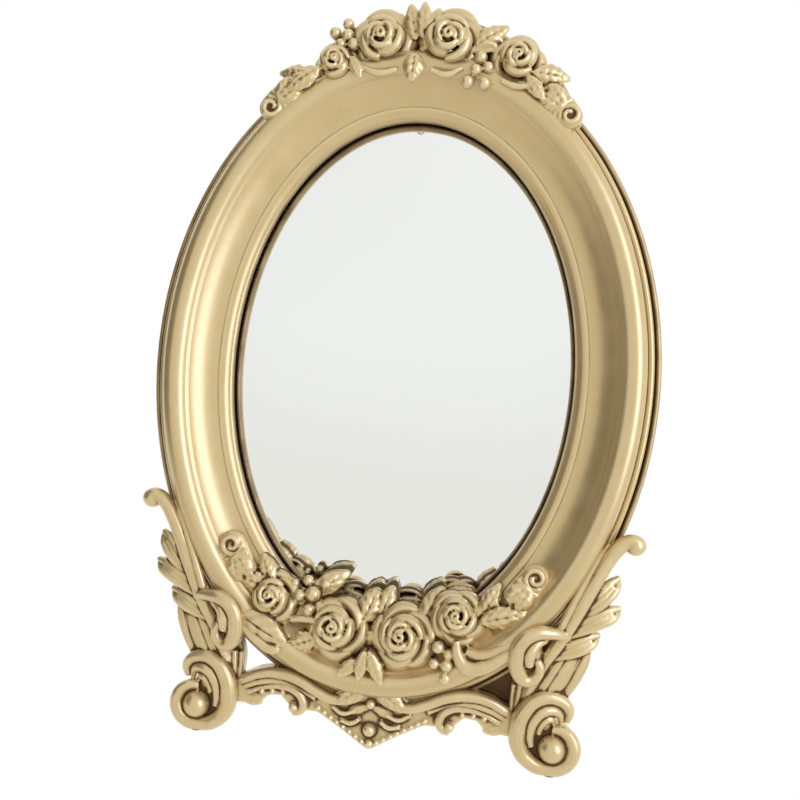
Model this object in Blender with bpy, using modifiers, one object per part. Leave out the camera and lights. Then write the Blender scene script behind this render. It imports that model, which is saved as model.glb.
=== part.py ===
"""Oval table mirror on two scroll feet, with applied rose garlands and a folding easel leg.

The mirror stands on z = 0, faces -Y and leans back. Its pieces are drawn in mirror coordinates, in
millimetres: u to the right, v up along the mirror and w out of its face, from the middle of the
frame's back. The leg is drawn in its own coordinates, from the middle of its hinge pin.
"""
import math

import bmesh
import bpy
from mathutils import Matrix, Vector

MM = 0.001
CLEARANCE = 0.3            # left between two pieces that touch

# Stance
LEAN = math.radians(15.0)          # of the mirror, back from upright
LEG_OPENING = math.radians(30.0)   # between the back of the mirror and the open leg
PAD_THICKNESS = 1.5

# Oval frame; an inset is measured inwards from its outer edge
HALF_WIDTH = 95.0
HALF_HEIGHT = 124.2
END_WIDENING = 0.96        # moulding width at the top and bottom, over its width at the sides
OVAL_STEPS = 60
RIM_DEPTH = 6.6            # of the frame behind its widest plane
MOULDING_WIDTH = 30.8
EDGE_STEPS = ((0.0, 3.2), (1.0, 5.2), (2.7, 5.2), (3.2, 7.6), (4.6, 8.6))   # outer beads
RIDGE_INSET = 11.0
RIDGE_RADIUS = 5.0
RIDGE_HEIGHT = 11.4        # of the middle of the ridge's round
COVE_MIDDLE = (29.7, 24.6) # of the hollow that falls from the ridge to the sight edge
COVE_RADIUS = 17.6
SIGHT_RADIUS = 4.4         # of the rounded sight edge
SIGHT_MIDDLE_HEIGHT = 3.4

# Glass and what closes the back
GLASS_THICKNESS = 3.0
GLASS_FRONT = 2.0
GLASS_LAP = 5.7            # of the sight edge over the glass
COVER_THICKNESS = 3.0
COVER_INSET = 12.0
COVER_SCREWS = 6
SCREW_INSET = 19.0
SCREW_RADIUS = 1.1
SCREW_REACH = 7.0          # into the frame
SCREW_HEAD_LAP = 1.7       # of a head over its shank, all round
SCREW_HEAD_HEIGHT = 1.6

# Hinge and leg
HINGE_RISE = 28.0          # of the pin above the middle of the oval
BRACKET_HEIGHT = 18.0
BRACKET_THICKNESS = 1.5
BRACKET_MARGIN = 6.0       # from a screw to the end of the bracket
LUG_THICKNESS = 2.0
LUG_MARGIN = 0.2           # of a lug's round over the barrel's
PIN_RADIUS = 1.5
PIN_HEAD_LAP = 1.1         # of a head over the pin, all round
PIN_HEAD_THICKNESS = 1.2
PIN_CLEARANCE = 0.35
BARREL_RADIUS = 4.0
BARREL_WIDTH = 47.0
HINGE_SCREW_OFFSET = 6.2   # of a screw from the nearest lug
HINGE_SCREW_SPREAD = 10.0  # between the upper and the lower screws
HINGE_SCREW_REACH = 2.4
LEG_FRONT = 1.5            # of the leg's front face ahead of the pin
LEG_THICKNESS = 4.5
LEG_SHOULDER = 3.5         # of the barrel's end past the top of the leg
LEG_FOOT_WIDTH = 76.0
LEG_PAD_SIZE = (62.0, 6.0)

# Castings, drawn for an oval of these half axes and stretched with the oval; pairs of a back and
# a front are distances out of the mirror's face
DRAWN_HALF_WIDTH = 95.0
DRAWN_HALF_HEIGHT = 124.2
CREST_PLATE = (2.0, 12.0)
CREST_ROSE_DEPTH = (3.0, 22.0)
CREST_LEAF_DEPTH = (5.0, 17.6)
CREST_CURL_DEPTH = (4.0, 18.0)
CREST_CURL_RADIUS = 4.4
CREST_BERRY_HEIGHT = 14.4
CREST_BERRY_RADIUS = 2.6
GARLAND_ROSE_DEPTH = (5.0, 23.0)
GARLAND_LEAF_DEPTH = (5.0, 17.0)
GARLAND_CURL_DEPTH = (5.0, 17.0)
GARLAND_CURL_RADIUS = 4.8
GARLAND_BERRY_HEIGHT = 15.6
GARLAND_BERRY_RADIUS = 3.0
GARLAND_STEM_HEIGHT = 11.5
GARLAND_STEM_RADIUS = 4.2
GARLAND_GAP = 2.5                  # between the glass and the garland that overhangs it
GARLAND_OVERHANG = 17.0            # more than the garland reaches over the glass
ROSE_BUD = 0.25                    # radius of a rose's bud over the rose's
BRACKET_PLATE = (0.8, 8.3)
APRON_PLATE = (0.6, 10.6)
APRON_HALF_WIDTH = 49.6
APRON_REACH = -108.3       # v below which the feet keep clear of the apron
FOOT_CENTRE = (66.5, -130.0)
FOOT_RADIUS = 10.0
FOOT_PAD_RADIUS = 3.4
FOOT_THICKNESS = (0.6, 10.6)
FOOT_KNOB = (90.0, -53.5)
FOOT_KNOB_RADIUS = 4.4
FOOT_KNOB_DEPTH = (3.0, 15.0)

CREST_ROSES = ((-31.5, 111.0, 8.6), (-14.5, 120.0, 11.8), (9.5, 120.5, 12.2), (34.5, 114.5, 9.8))
CREST_LEAVES = (
    ((-3.0, 122.0), (-4.5, 134.5), 6.5), ((0.0, 122.0), (4.5, 133.0), 6.5),
    ((20.0, 119.0), (29.5, 127.0), 7.0), ((40.0, 110.0), (52.0, 109.5), 7.0),
    ((-40.0, 105.0), (-52.5, 107.5), 7.0), ((-48.0, 100.5), (-38.0, 107.0), 6.5),
    ((-2.0, 122.0), (-3.0, 105.5), 5.0), ((44.5, 101.0), (35.0, 108.0), 6.0),
    ((21.5, 120.0), (19.8, 102.5), 9.0))
CREST_BERRIES = (
    (-33.0, 122.5), (-28.5, 126.0), (-28.0, 121.5), (-25.5, 118.0), (-30.5, 118.0),
    (21.5, 114.5), (19.0, 110.5), (17.0, 106.5), (22.5, 106.0), (24.0, 110.5))
CREST_CURLS = ((-55.0, 94.5), (55.0, 95.5))
CREST_OUTLINE = (
    (-58.5, 91.0), (-56.5, 99.0), (-52.0, 106.5), (-44.0, 111.0), (-38.0, 116.0), (-33.0, 124.0),
    (-24.0, 128.5), (-12.0, 131.5), (-2.0, 132.5), (10.0, 131.5), (22.0, 129.0), (32.0, 124.5),
    (41.0, 118.5), (49.0, 112.0), (54.0, 105.0), (58.5, 93.0), (52.0, 93.0), (44.0, 99.0),
    (34.0, 105.0), (20.0, 110.0), (0.0, 112.0), (-20.0, 110.0), (-34.0, 105.0), (-46.0, 98.0),
    (-52.0, 92.5))

GARLAND_ROSES = ((-39.0, -87.5, 9.6), (-14.5, -96.5, 11.6), (10.5, -97.0, 12.0), (29.5, -87.5, 10.2))
GARLAND_LEAVES = (
    ((-41.0, -82.0), (-45.0, -71.5), 6.0), ((-42.0, -82.0), (-52.0, -79.0), 6.5),
    ((-23.0, -82.0), (-13.5, -75.5), 6.0), ((-22.0, -99.0), (-31.5, -102.5), 6.0),
    ((-2.0, -97.0), (-1.0, -81.0), 7.0), ((-3.0, -100.0), (-5.0, -110.0), 5.0),
    ((-1.0, -100.0), (3.5, -111.0), 5.0), ((17.0, -88.0), (22.0, -78.0), 6.0),
    ((38.0, -85.0), (43.0, -73.5), 6.5), ((38.0, -86.5), (52.5, -82.0), 7.0),
    ((30.0, -93.0), (33.0, -105.5), 7.0), ((-40.0, -93.0), (-34.0, -103.5), 8.0))
GARLAND_BERRIES = (
    (-27.5, -79.5), (-29.5, -84.5), (-24.5, -83.5), (-20.5, -80.0), (-25.5, -88.5),
    (23.0, -96.0), (27.0, -98.5), (27.0, -102.5), (22.5, -102.0), (26.0, -106.0))
GARLAND_CURLS = ((-57.0, -67.0), (56.0, -69.0))
GARLAND_STEM = (
    (-56.0, -69.0), (-48.0, -77.0), (-39.0, -87.0), (-27.0, -87.0), (-14.5, -95.0), (0.0, -97.0),
    (12.0, -96.0), (23.0, -92.0), (30.0, -88.0), (42.0, -81.0), (55.0, -71.0))

# Scroll foot on the +u side: tubes and feathers are stations of a point and the radius there
FOOT_ARM = (
    ((89.5, -53.5, 10.0), 4.3), ((84.5, -54.5, 10.0), 3.0), ((80.0, -60.0, 10.0), 3.2),
    ((76.0, -68.5, 11.0), 3.3), ((71.5, -78.0, 11.0), 3.2), ((66.0, -87.5, 12.0), 3.0),
    ((60.0, -98.0, 12.0), 3.0), ((56.0, -108.0, 9.0), 3.0), ((53.5, -119.0, 8.0), 2.6))
FOOT_HOOK = (
    ((67.0, -86.5, 13.0), 2.4), ((60.0, -85.5, 16.5), 2.6), ((53.0, -88.5, 18.0), 2.8),
    ((49.5, -95.5, 17.5), 2.8), ((51.0, -103.0, 14.5), 2.8), ((56.5, -105.5, 13.5), 2.6),
    ((60.5, -101.0, 14.5), 2.5), ((59.0, -95.0, 16.5), 2.5), ((55.0, -96.5, 17.5), 2.4))
FOOT_FEATHERS = (
    ((73.0, -78.0), (84.0, -66.0)), ((74.0, -79.0), (84.5, -70.5)), ((70.0, -84.0), (85.5, -76.5)),
    ((69.0, -86.0), (83.0, -81.0)), ((64.0, -92.0), (79.0, -85.5)), ((62.0, -96.0), (77.0, -89.5)))
FOOT_SWEEP = (
    ((69.0, -117.0, 6.0), 1.8), ((66.0, -112.5, 7.0), 2.4), ((59.0, -113.5, 8.0), 2.8),
    ((54.5, -120.5, 8.0), 3.0), ((54.5, -129.0, 7.0), 3.2), ((58.5, -136.0, 6.0), 3.0))
FOOT_OUTLINE = (
    (72.5, -91.0), (72.0, -99.0), (69.5, -107.0), (66.0, -112.0), (60.0, -122.0), (57.0, -128.0),
    (50.2, -128.0), (50.2, -107.0), (54.0, -98.0), (63.0, -90.0))

# Apron, +u half
APRON_OUTLINE = (
    (0.0, -112.5), (7.5, -114.0), (14.0, -119.2), (20.0, -117.2), (28.0, -113.6), (36.5, -112.6),
    (44.0, -114.2), (APRON_HALF_WIDTH, -117.2), (APRON_HALF_WIDTH, -128.5), (42.5, -127.4),
    (38.5, -123.6), (34.5, -123.4), (31.5, -126.5), (27.0, -127.8), (20.0, -128.0),
    (10.0, -133.5), (1.2, -139.4), (0.0, -139.6))
APRON_RAIL = (
    ((12.0, -121.6, 11.0), 1.8), ((20.0, -119.2, 11.0), 1.9), ((28.0, -115.9, 10.5), 2.0),
    ((36.5, -114.8, 9.0), 2.0), ((43.5, -116.2, 8.5), 2.0), ((47.6, -118.4, 8.5), 1.9))
APRON_CURL = (
    ((44.0, -121.5, 8.5), 1.4), ((36.5, -119.4, 9.0), 1.7), ((30.0, -120.0, 9.0), 1.8),
    ((26.0, -123.4, 8.5), 1.8), ((26.2, -127.6, 8.5), 1.6), ((29.4, -128.6, 8.0), 1.6))
APRON_POCKET = (
    (38.0, -104.0), (46.0, -99.0), (APRON_HALF_WIDTH, -108.5), (APRON_HALF_WIDTH, -119.0),
    (38.0, -115.0))
POCKET_FLOOR = (0.6, 2.6)


def oval_axes(inset):
    """Half axes of the oval at an inset from the frame's outer edge."""
    return HALF_WIDTH - inset, HALF_HEIGHT - inset * END_WIDENING


def arc(inset, height, radius, start, end, steps):
    """Points of a round stretch of the moulding, angles in degrees from the inward direction."""
    angles = [math.radians(start + (end - start) * step / steps) for step in range(steps + 1)]
    return [(inset + radius * math.cos(a), height + radius * math.sin(a)) for a in angles]


def moulding_front(grow=0.0):
    """Front of the moulding from its outer wall to its sight edge, grown outwards by a clearance."""
    edge = [(inset - grow, height + (grow if inset else 0.0)) for inset, height in EDGE_STEPS]
    return (edge + arc(RIDGE_INSET, RIDGE_HEIGHT, RIDGE_RADIUS + grow, 190, 30, 7)
            + arc(*COVE_MIDDLE, COVE_RADIUS - grow, 218.5, 258.5, 4)
            + arc(MOULDING_WIDTH - SIGHT_RADIUS, SIGHT_MIDDLE_HEIGHT, SIGHT_RADIUS + grow, 90, 0, 3))


def material(name, colour, roughness, metallic=0.0):
    """Principled material of one sub-part."""
    made = bpy.data.materials.new(name)
    made.use_nodes = True
    shader = made.node_tree.nodes["Principled BSDF"]
    shader.inputs["Base Color"].default_value = (*colour, 1.0)
    shader.inputs["Roughness"].default_value = roughness
    shader.inputs["Metallic"].default_value = metallic
    made.diffuse_color = (*colour, 1.0)
    return made


def make_object(name, mesh, parent, collection):
    """Link a mesh or curve as an object of its own."""
    made = bpy.data.objects.new(name, mesh)
    made.parent = parent
    collection.objects.link(made)
    if collection.name == "cutters":
        made.hide_render = True
        made.display_type = "WIRE"
    return made


def mesh_of(name, bm):
    """Finish a bmesh as a mesh with its faces pointing out."""
    bmesh.ops.recalc_face_normals(bm, faces=bm.faces)
    mesh = bpy.data.meshes.new(name)
    bm.to_mesh(mesh)
    bm.free()
    return mesh


def solid_from_curve(curve_object):
    """Turn a curve object into a closed mesh object in the same place."""
    graph = bpy.context.evaluated_depsgraph_get()
    mesh = bpy.data.meshes.new_from_object(curve_object.evaluated_get(graph))
    bm = bmesh.new()
    bm.from_mesh(mesh)
    bpy.data.meshes.remove(mesh)
    bmesh.ops.remove_doubles(bm, verts=bm.verts, dist=0.005 * MM)
    name, parent = curve_object.name, curve_object.parent
    place, collection = curve_object.location.copy(), curve_object.users_collection[0]
    bpy.data.objects.remove(curve_object)
    solid = make_object(name, mesh_of(name, bm), parent, collection)
    solid.location = place
    return solid


def plate(name, outline, back, front, parent, collection, smooth=True):
    """Flat piece with a drawn outline."""
    data = bpy.data.curves.new(name, "CURVE")
    data.dimensions = "2D"
    data.fill_mode = "BOTH"
    data.extrude = (front - back) / 2 * MM
    data.resolution_u = 2
    spline = data.splines.new("BEZIER" if smooth else "POLY")
    spline.use_cyclic_u = True
    points = spline.bezier_points if smooth else spline.points
    points.add(len(outline) - 1)
    for point, (u, v) in zip(points, outline):
        if smooth:
            point.co = (u * MM, v * MM, 0.0)
            point.handle_left_type = point.handle_right_type = "AUTO"
        else:
            point.co = (u * MM, v * MM, 0.0, 1.0)
    made = make_object(name, data, parent, collection)
    made.location.z = (back + front) / 2 * MM
    bpy.context.view_layer.update()
    return solid_from_curve(made)


def tube(name, stations, parent, collection, sides=6):
    """Round bar through stations of a point and a radius."""
    data = bpy.data.curves.new(name, "CURVE")
    data.dimensions = "3D"
    data.bevel_depth = MM
    data.bevel_resolution = (sides - 4) // 2
    data.use_fill_caps = True
    data.resolution_u = 2
    spline = data.splines.new("BEZIER")
    spline.bezier_points.add(len(stations) - 1)
    for point, (place, radius) in zip(spline.bezier_points, stations):
        point.co = Vector(place) * MM
        point.radius = radius
        point.handle_left_type = point.handle_right_type = "AUTO"
    made = make_object(name, data, parent, collection)
    bpy.context.view_layer.update()
    return solid_from_curve(made)


def turned(name, outline, steps, parent, collection, place=(0.0, 0.0, 0.0)):
    """Turned piece about w: its outline (radius, height) runs down its outer side."""
    bm = bmesh.new()
    points = [bm.verts.new((radius * MM, 0.0, height * MM)) for radius, height in outline]
    for pair in zip(points, points[1:]):
        bm.edges.new(pair)
    mesh = bpy.data.meshes.new(name)
    bm.to_mesh(mesh)
    bm.free()
    made = make_object(name, mesh, parent, collection)
    made.location = Vector(place) * MM
    screw = made.modifiers.new("turn", "SCREW")
    screw.steps = screw.render_steps = steps
    screw.use_merge_vertices = True
    screw.merge_threshold = 0.01 * MM
    return made


def cylinder(name, radius, low, high, parent, collection, place=(0.0, 0.0), along="Z", sides=16):
    """Cylinder between two heights along an axis; place is on the other two axes."""
    bm = bmesh.new()
    bmesh.ops.create_cone(bm, cap_ends=True, segments=sides, radius1=radius * MM,
                          radius2=radius * MM, depth=(high - low) * MM)
    bmesh.ops.translate(bm, verts=bm.verts, vec=(0.0, 0.0, (low + high) / 2 * MM))
    made = make_object(name, mesh_of(name, bm), parent, collection)
    if along == "X":
        made.data.transform(Matrix.Rotation(math.radians(90), 4, "Y"))
        made.location = (0.0, place[0] * MM, place[1] * MM)
    else:
        made.location = (place[0] * MM, place[1] * MM, 0.0)
    return made


def box(name, low, high, parent, collection):
    """Block between two corners."""
    bm = bmesh.new()
    bmesh.ops.create_cube(bm, size=1.0)
    low, high = Vector(low), Vector(high)
    bmesh.ops.scale(bm, verts=bm.verts, vec=(high - low) * MM)
    bmesh.ops.translate(bm, verts=bm.verts, vec=(low + high) / 2 * MM)
    return make_object(name, mesh_of(name, bm), parent, collection)


def oval_ring(name, outline, parent, collection):
    """Ring whose outline (inset, height) is spun once and then drawn out to the oval."""
    bm = bmesh.new()
    points = [bm.verts.new(((HALF_WIDTH - inset) * MM, 0.0, height * MM))
              for inset, height in outline]
    edges = [bm.edges.new(pair) for pair in zip(points, points[1:] + points[:1])]
    bmesh.ops.spin(bm, geom=points + edges, axis=(0, 0, 1), cent=(0, 0, 0), angle=math.tau,
                   steps=OVAL_STEPS, use_merge=True)
    for vert in bm.verts:
        radius = math.hypot(vert.co.x, vert.co.y) / MM
        half_width, half_height = oval_axes(HALF_WIDTH - radius)
        vert.co.y *= half_height / half_width
    return make_object(name, mesh_of(name, bm), parent, collection)


def oval_board(name, inset, back, front, parent, collection):
    """Flat oval board or glass."""
    bm = bmesh.new()
    bmesh.ops.create_cone(bm, cap_ends=True, segments=OVAL_STEPS, radius1=1.0, radius2=1.0,
                          depth=1.0)
    half_width, half_height = oval_axes(inset)
    bmesh.ops.scale(bm, verts=bm.verts, vec=Vector((half_width, half_height, front - back)) * MM)
    bmesh.ops.translate(bm, verts=bm.verts, vec=(0.0, 0.0, (back + front) / 2 * MM))
    return make_object(name, mesh_of(name, bm), parent, collection)


def cut(body, cutter):
    """Take a cutter away from a body."""
    boolean = body.modifiers.new(cutter.name, "BOOLEAN")
    boolean.operation = "DIFFERENCE"
    boolean.object = cutter


def join(body, shapes):
    """Make one body of a shape and the shapes that it overlaps."""
    group = bpy.data.collections.new(body.name + "_shapes")
    bpy.data.collections["cutters"].children.link(group)
    for shape in shapes:
        shape.users_collection[0].objects.unlink(shape)
        group.objects.link(shape)
    boolean = body.modifiers.new("join", "BOOLEAN")
    boolean.operation = "UNION"
    boolean.operand_type = "COLLECTION"
    boolean.collection = group


def rose(name, u, v, radius, back, front, parent, collection):
    """Open rose as three rings of petals about a bud."""
    rise = front - back
    outline = [(0.0, 1.0), (ROSE_BUD, 1.0), (0.36, 0.8), (0.62, 0.93), (0.7, 0.74), (0.95, 0.72),
               (1.0, 0.4), (0.9, 0.0), (0.0, 0.0)]
    return turned(name, [(r * radius, back + h * rise) for r, h in outline], 12, parent,
                  collection, (u, v, 0.0))


def leaf(name, base, tip, width, back, front, parent, collection):
    """Pointed leaf from its base to its tip."""
    base, tip = Vector(base), Vector(tip)
    along = tip - base
    across = Vector((-along.y, along.x)).normalized() * width / 2
    shape = ((0.0, 0.0), (0.25, 0.8), (0.5, 1.0), (0.8, 0.55), (1.0, 0.0))
    left = [base + along * t + across * s for t, s in shape]
    right = [base + along * t - across * s for t, s in shape[1:-1]]
    return plate(name, left + right[::-1], back, front, parent, collection, smooth=False)


def berry(name, u, v, w, radius, parent, collection):
    """Round berry."""
    bm = bmesh.new()
    bmesh.ops.create_icosphere(bm, subdivisions=1, radius=radius * MM)
    made = make_object(name, mesh_of(name, bm), parent, collection)
    made.location = Vector((u, v, w)) * MM
    return made


def curl(name, u, v, back, front, radius, parent, collection):
    """Small rolled end with a domed eye."""
    outline = [(0.0, front), (radius * 0.4, front - 0.5), (radius * 0.55, front - 1.6),
               (radius * 0.8, front - 0.8), (radius, front - 2.0), (radius, back), (0.0, back)]
    return turned(name, outline, 12, parent, collection, (u, v, 0.0))


def stretch():
    """How far the castings are stretched with the oval, across and up."""
    return HALF_WIDTH / DRAWN_HALF_WIDTH, HALF_HEIGHT / DRAWN_HALF_HEIGHT


def foot_drop():
    """From the middle of the oval down to the bottom of the feet."""
    return (FOOT_RADIUS - FOOT_CENTRE[1]) * stretch()[1]


def clear_scene():
    """Start from an empty scene."""
    for old in list(bpy.data.objects):
        bpy.data.objects.remove(old)
    for old in list(bpy.data.collections):
        bpy.data.collections.remove(old)


def collection_named(name):
    made = bpy.data.collections.new(name)
    bpy.context.scene.collection.children.link(made)
    return made


def empty(name, parent, place, turn):
    """Empty that carries drawing coordinates, turned about its X axis."""
    made = bpy.data.objects.new(name, None)
    made.parent = parent
    made.location = place
    made.rotation_euler = (turn, 0.0, 0.0)
    bpy.context.scene.collection.objects.link(made)
    return made


# ---------------------------------------------------------------- frame, glass and back

def cover_back():
    """w of the back face of the rear cover, flush with the frame's rim."""
    return -RIM_DEPTH


def ledge():
    """w of the ledge that the rear cover lies on."""
    return cover_back() + COVER_THICKNESS + CLEARANCE


def cover_screw_places():
    half_width, half_height = oval_axes(SCREW_INSET)
    turns = [math.tau * (step + 0.5) / COVER_SCREWS for step in range(COVER_SCREWS)]
    return [(half_width * math.sin(t), half_height * math.cos(t)) for t in turns]


def make_frame(mirror, parts, cutters):
    """Moulded oval with a rebate for the glass and a step for the rear cover."""
    glass_rebate = MOULDING_WIDTH - GLASS_LAP
    lip = GLASS_FRONT + CLEARANCE
    outline = ([(1.5, -RIM_DEPTH), (0.0, -1.0)] + moulding_front()
               + [(MOULDING_WIDTH, lip), (glass_rebate, lip), (glass_rebate, ledge()),
                  (COVER_INSET, ledge()), (COVER_INSET, -RIM_DEPTH)])
    frame = oval_ring("front_frame", outline, mirror, parts)
    for number, place in enumerate(cover_screw_places(), 1):
        hole = cylinder(f"frame_hole_{number}", SCREW_RADIUS + CLEARANCE, ledge() - 1.0,
                        ledge() + SCREW_REACH + 1.0, mirror, cutters, place, sides=8)
        cut(frame, hole)
    return frame


def garland_floor():
    """w of the garland's back where it overhangs the glass."""
    return GLASS_FRONT + GARLAND_GAP


def make_seat_cutter(mirror, cutters):
    """All behind the frame's front and near the glass, with a clearance, to seat the castings."""
    deep = -2 * RIM_DEPTH
    overhang = MOULDING_WIDTH + GARLAND_OVERHANG
    front = [(inset, height) for inset, height in moulding_front(CLEARANCE)
             if inset < MOULDING_WIDTH or height > garland_floor()]
    outline = ([(-CLEARANCE, deep)] + front
               + [(MOULDING_WIDTH + CLEARANCE, garland_floor()), (overhang, garland_floor()),
                  (overhang, deep)])
    return oval_ring("seat", outline, mirror, cutters)


def make_glass_and_back(mirror, parts, cutters):
    """Mirror glass, the soft board behind it and the cover that closes the back."""
    rebate = MOULDING_WIDTH - GLASS_LAP + CLEARANCE
    glass_back = GLASS_FRONT - GLASS_THICKNESS
    glass = oval_board("mirror_glass", rebate, glass_back, GLASS_FRONT, mirror, parts)
    board = oval_board("backing_pad", rebate, ledge(), glass_back - CLEARANCE, mirror, parts)
    cover = oval_board("rear_cover", COVER_INSET + CLEARANCE, cover_back(),
                       cover_back() + COVER_THICKNESS, mirror, parts)
    for number, place in enumerate(cover_screw_places(), 1):
        hole = cylinder(f"cover_hole_{number}", SCREW_RADIUS + CLEARANCE, cover_back() - 1.0,
                        ledge() + 1.0, mirror, cutters, place, sides=8)
        cut(cover, hole)
    return glass, board, cover


def screw_outline(head_seat, reach):
    """Pan-head screw whose head lies behind its seat and whose point is ahead of it."""
    back = head_seat - SCREW_HEAD_HEIGHT
    head = SCREW_RADIUS + SCREW_HEAD_LAP
    return [(0.0, reach), (SCREW_RADIUS, reach - 0.8), (SCREW_RADIUS, head_seat),
            (head, head_seat), (head, back + 0.5), (head - 0.8, back), (0.0, back)]


def make_cover_screws(mirror, parts):
    seat = cover_back() - CLEARANCE
    screws = []
    for number, (u, v) in enumerate(cover_screw_places(), 1):
        screws.append(turned(f"cover_screw_{number}", screw_outline(seat, ledge() + SCREW_REACH),
                             12, mirror, parts, (u, v, 0.0)))
    return screws


# ---------------------------------------------------------------- hinge and leg

def plate_front():
    """w of the bracket plate's front face."""
    return cover_back() - CLEARANCE


def plate_back():
    return plate_front() - BRACKET_THICKNESS


def pin_setback():
    """Distance of the pin from the bracket's plate."""
    return BARREL_RADIUS + 2 * CLEARANCE


def pin_depth():
    """w of the hinge pin's middle."""
    return plate_back() - pin_setback()


def lug_inner():
    return BARREL_WIDTH / 2 + CLEARANCE


def lug_outer():
    return lug_inner() + LUG_THICKNESS


def hinge_screw_u():
    return lug_outer() + HINGE_SCREW_OFFSET


def hinge_screw_places():
    high = HINGE_SCREW_SPREAD / 2
    return [(u * hinge_screw_u(), HINGE_RISE + v * high) for u in (-1, 1) for v in (-1, 1)]


def make_hinge(mirror, parts, cutters, cover):
    """Bracket with two lugs, its screws and the pin."""
    half_width = hinge_screw_u() + BRACKET_MARGIN
    bracket = box("hinge_bracket", (-half_width, HINGE_RISE - BRACKET_HEIGHT / 2, plate_back()),
                  (half_width, HINGE_RISE + BRACKET_HEIGHT / 2, plate_front()), mirror, parts)
    lugs = []
    for side, name in ((-1, "left"), (1, "right")):
        ends = sorted((side * lug_inner(), side * lug_outer()))
        lug = cylinder(f"lug_{name}", BARREL_RADIUS + LUG_MARGIN, ends[0], ends[1], mirror, cutters,
                       (HINGE_RISE, pin_depth()), along="X", sides=20)
        for vert in lug.data.vertices:
            if vert.co.z > 0.1 * MM:
                vert.co.z = (pin_setback() + BRACKET_THICKNESS / 2) * MM
        lugs.append(lug)
    join(bracket, lugs)
    bore = cylinder("lug_bore", PIN_RADIUS + PIN_CLEARANCE, -BARREL_WIDTH, BARREL_WIDTH, mirror,
                    cutters, (HINGE_RISE, pin_depth()), along="X")
    cut(bracket, bore)
    screws = []
    seat = plate_back() - CLEARANCE
    for number, place in enumerate(hinge_screw_places(), 1):
        hole = cylinder(f"hinge_hole_{number}", SCREW_RADIUS + CLEARANCE, plate_back() - 1.0,
                        plate_front() + HINGE_SCREW_REACH + 2 * CLEARANCE, mirror, cutters, place,
                        sides=8)
        cut(bracket, hole)
        cut(cover, hole)
        screws.append(turned(f"hinge_screw_{number}",
                             screw_outline(seat, plate_front() + HINGE_SCREW_REACH), 12, mirror,
                             parts, (*place, 0.0)))
    near = lug_outer() + CLEARANCE
    pin = cylinder("hinge_pin", PIN_RADIUS, -near, near, mirror, parts, (HINGE_RISE, pin_depth()),
                   along="X")
    heads = []
    for side, name in ((-1, "left"), (1, "right")):
        ends = sorted((side * (near - 0.1), side * (near + PIN_HEAD_THICKNESS)))
        heads.append(cylinder(f"pin_head_{name}", PIN_RADIUS + PIN_HEAD_LAP, ends[0], ends[1], mirror,
                              cutters, (HINGE_RISE, pin_depth()), along="X"))
    join(pin, heads)
    return bracket, screws, pin


def heel_height():
    """Height of the leg above the pin, where it meets the bracket and stops the leg."""
    return (pin_setback() - CLEARANCE - LEG_FRONT * math.cos(LEG_OPENING)) / math.sin(LEG_OPENING)


def make_leg(leg, parts, cutters, leg_length):
    """Tapered leg with its barrel, cut level at the floor."""
    reach = leg_length + 3.0
    top = BARREL_WIDTH / 2 - LEG_SHOULDER
    outline = [(-top, heel_height()), (-top, -12.0),
               (-LEG_FOOT_WIDTH / 2, -reach + 34.0), (-LEG_FOOT_WIDTH / 2, -reach)]
    outline += [(-u, v) for u, v in reversed(outline)]
    panel = plate("easel_leg", outline, LEG_FRONT - LEG_THICKNESS, LEG_FRONT, leg, parts, smooth=False)
    barrel = cylinder("leg_barrel", BARREL_RADIUS, -BARREL_WIDTH / 2, BARREL_WIDTH / 2, leg, cutters,
                      along="X", sides=20)
    join(panel, [barrel])
    cut(panel, cylinder("leg_bore", PIN_RADIUS + PIN_CLEARANCE, -BARREL_WIDTH, BARREL_WIDTH, leg,
                        cutters, along="X"))
    return panel


# ---------------------------------------------------------------- castings

def make_crest(castings, parts, cutters, seat):
    """Garland of roses and leaves over the top of the frame."""
    crest = plate("crest_garland", CREST_OUTLINE, *CREST_PLATE, castings, parts)
    shapes = []
    for number, (u, v, radius) in enumerate(CREST_ROSES, 1):
        shapes.append(rose(f"crest_rose_{number}", u, v, radius, *CREST_ROSE_DEPTH, castings, cutters))
    for number, (base, tip, width) in enumerate(CREST_LEAVES, 1):
        shapes.append(leaf(f"crest_leaf_{number}", base, tip, width, *CREST_LEAF_DEPTH, castings,
                           cutters))
    for number, (u, v) in enumerate(CREST_BERRIES, 1):
        shapes.append(berry(f"crest_berry_{number}", u, v, CREST_BERRY_HEIGHT, CREST_BERRY_RADIUS,
                            castings, cutters))
    for number, (u, v) in enumerate(CREST_CURLS, 1):
        shapes.append(curl(f"crest_curl_{number}", u, v, *CREST_CURL_DEPTH, CREST_CURL_RADIUS, castings,
                           cutters))
    join(crest, shapes)
    cut(crest, seat)
    return crest


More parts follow.
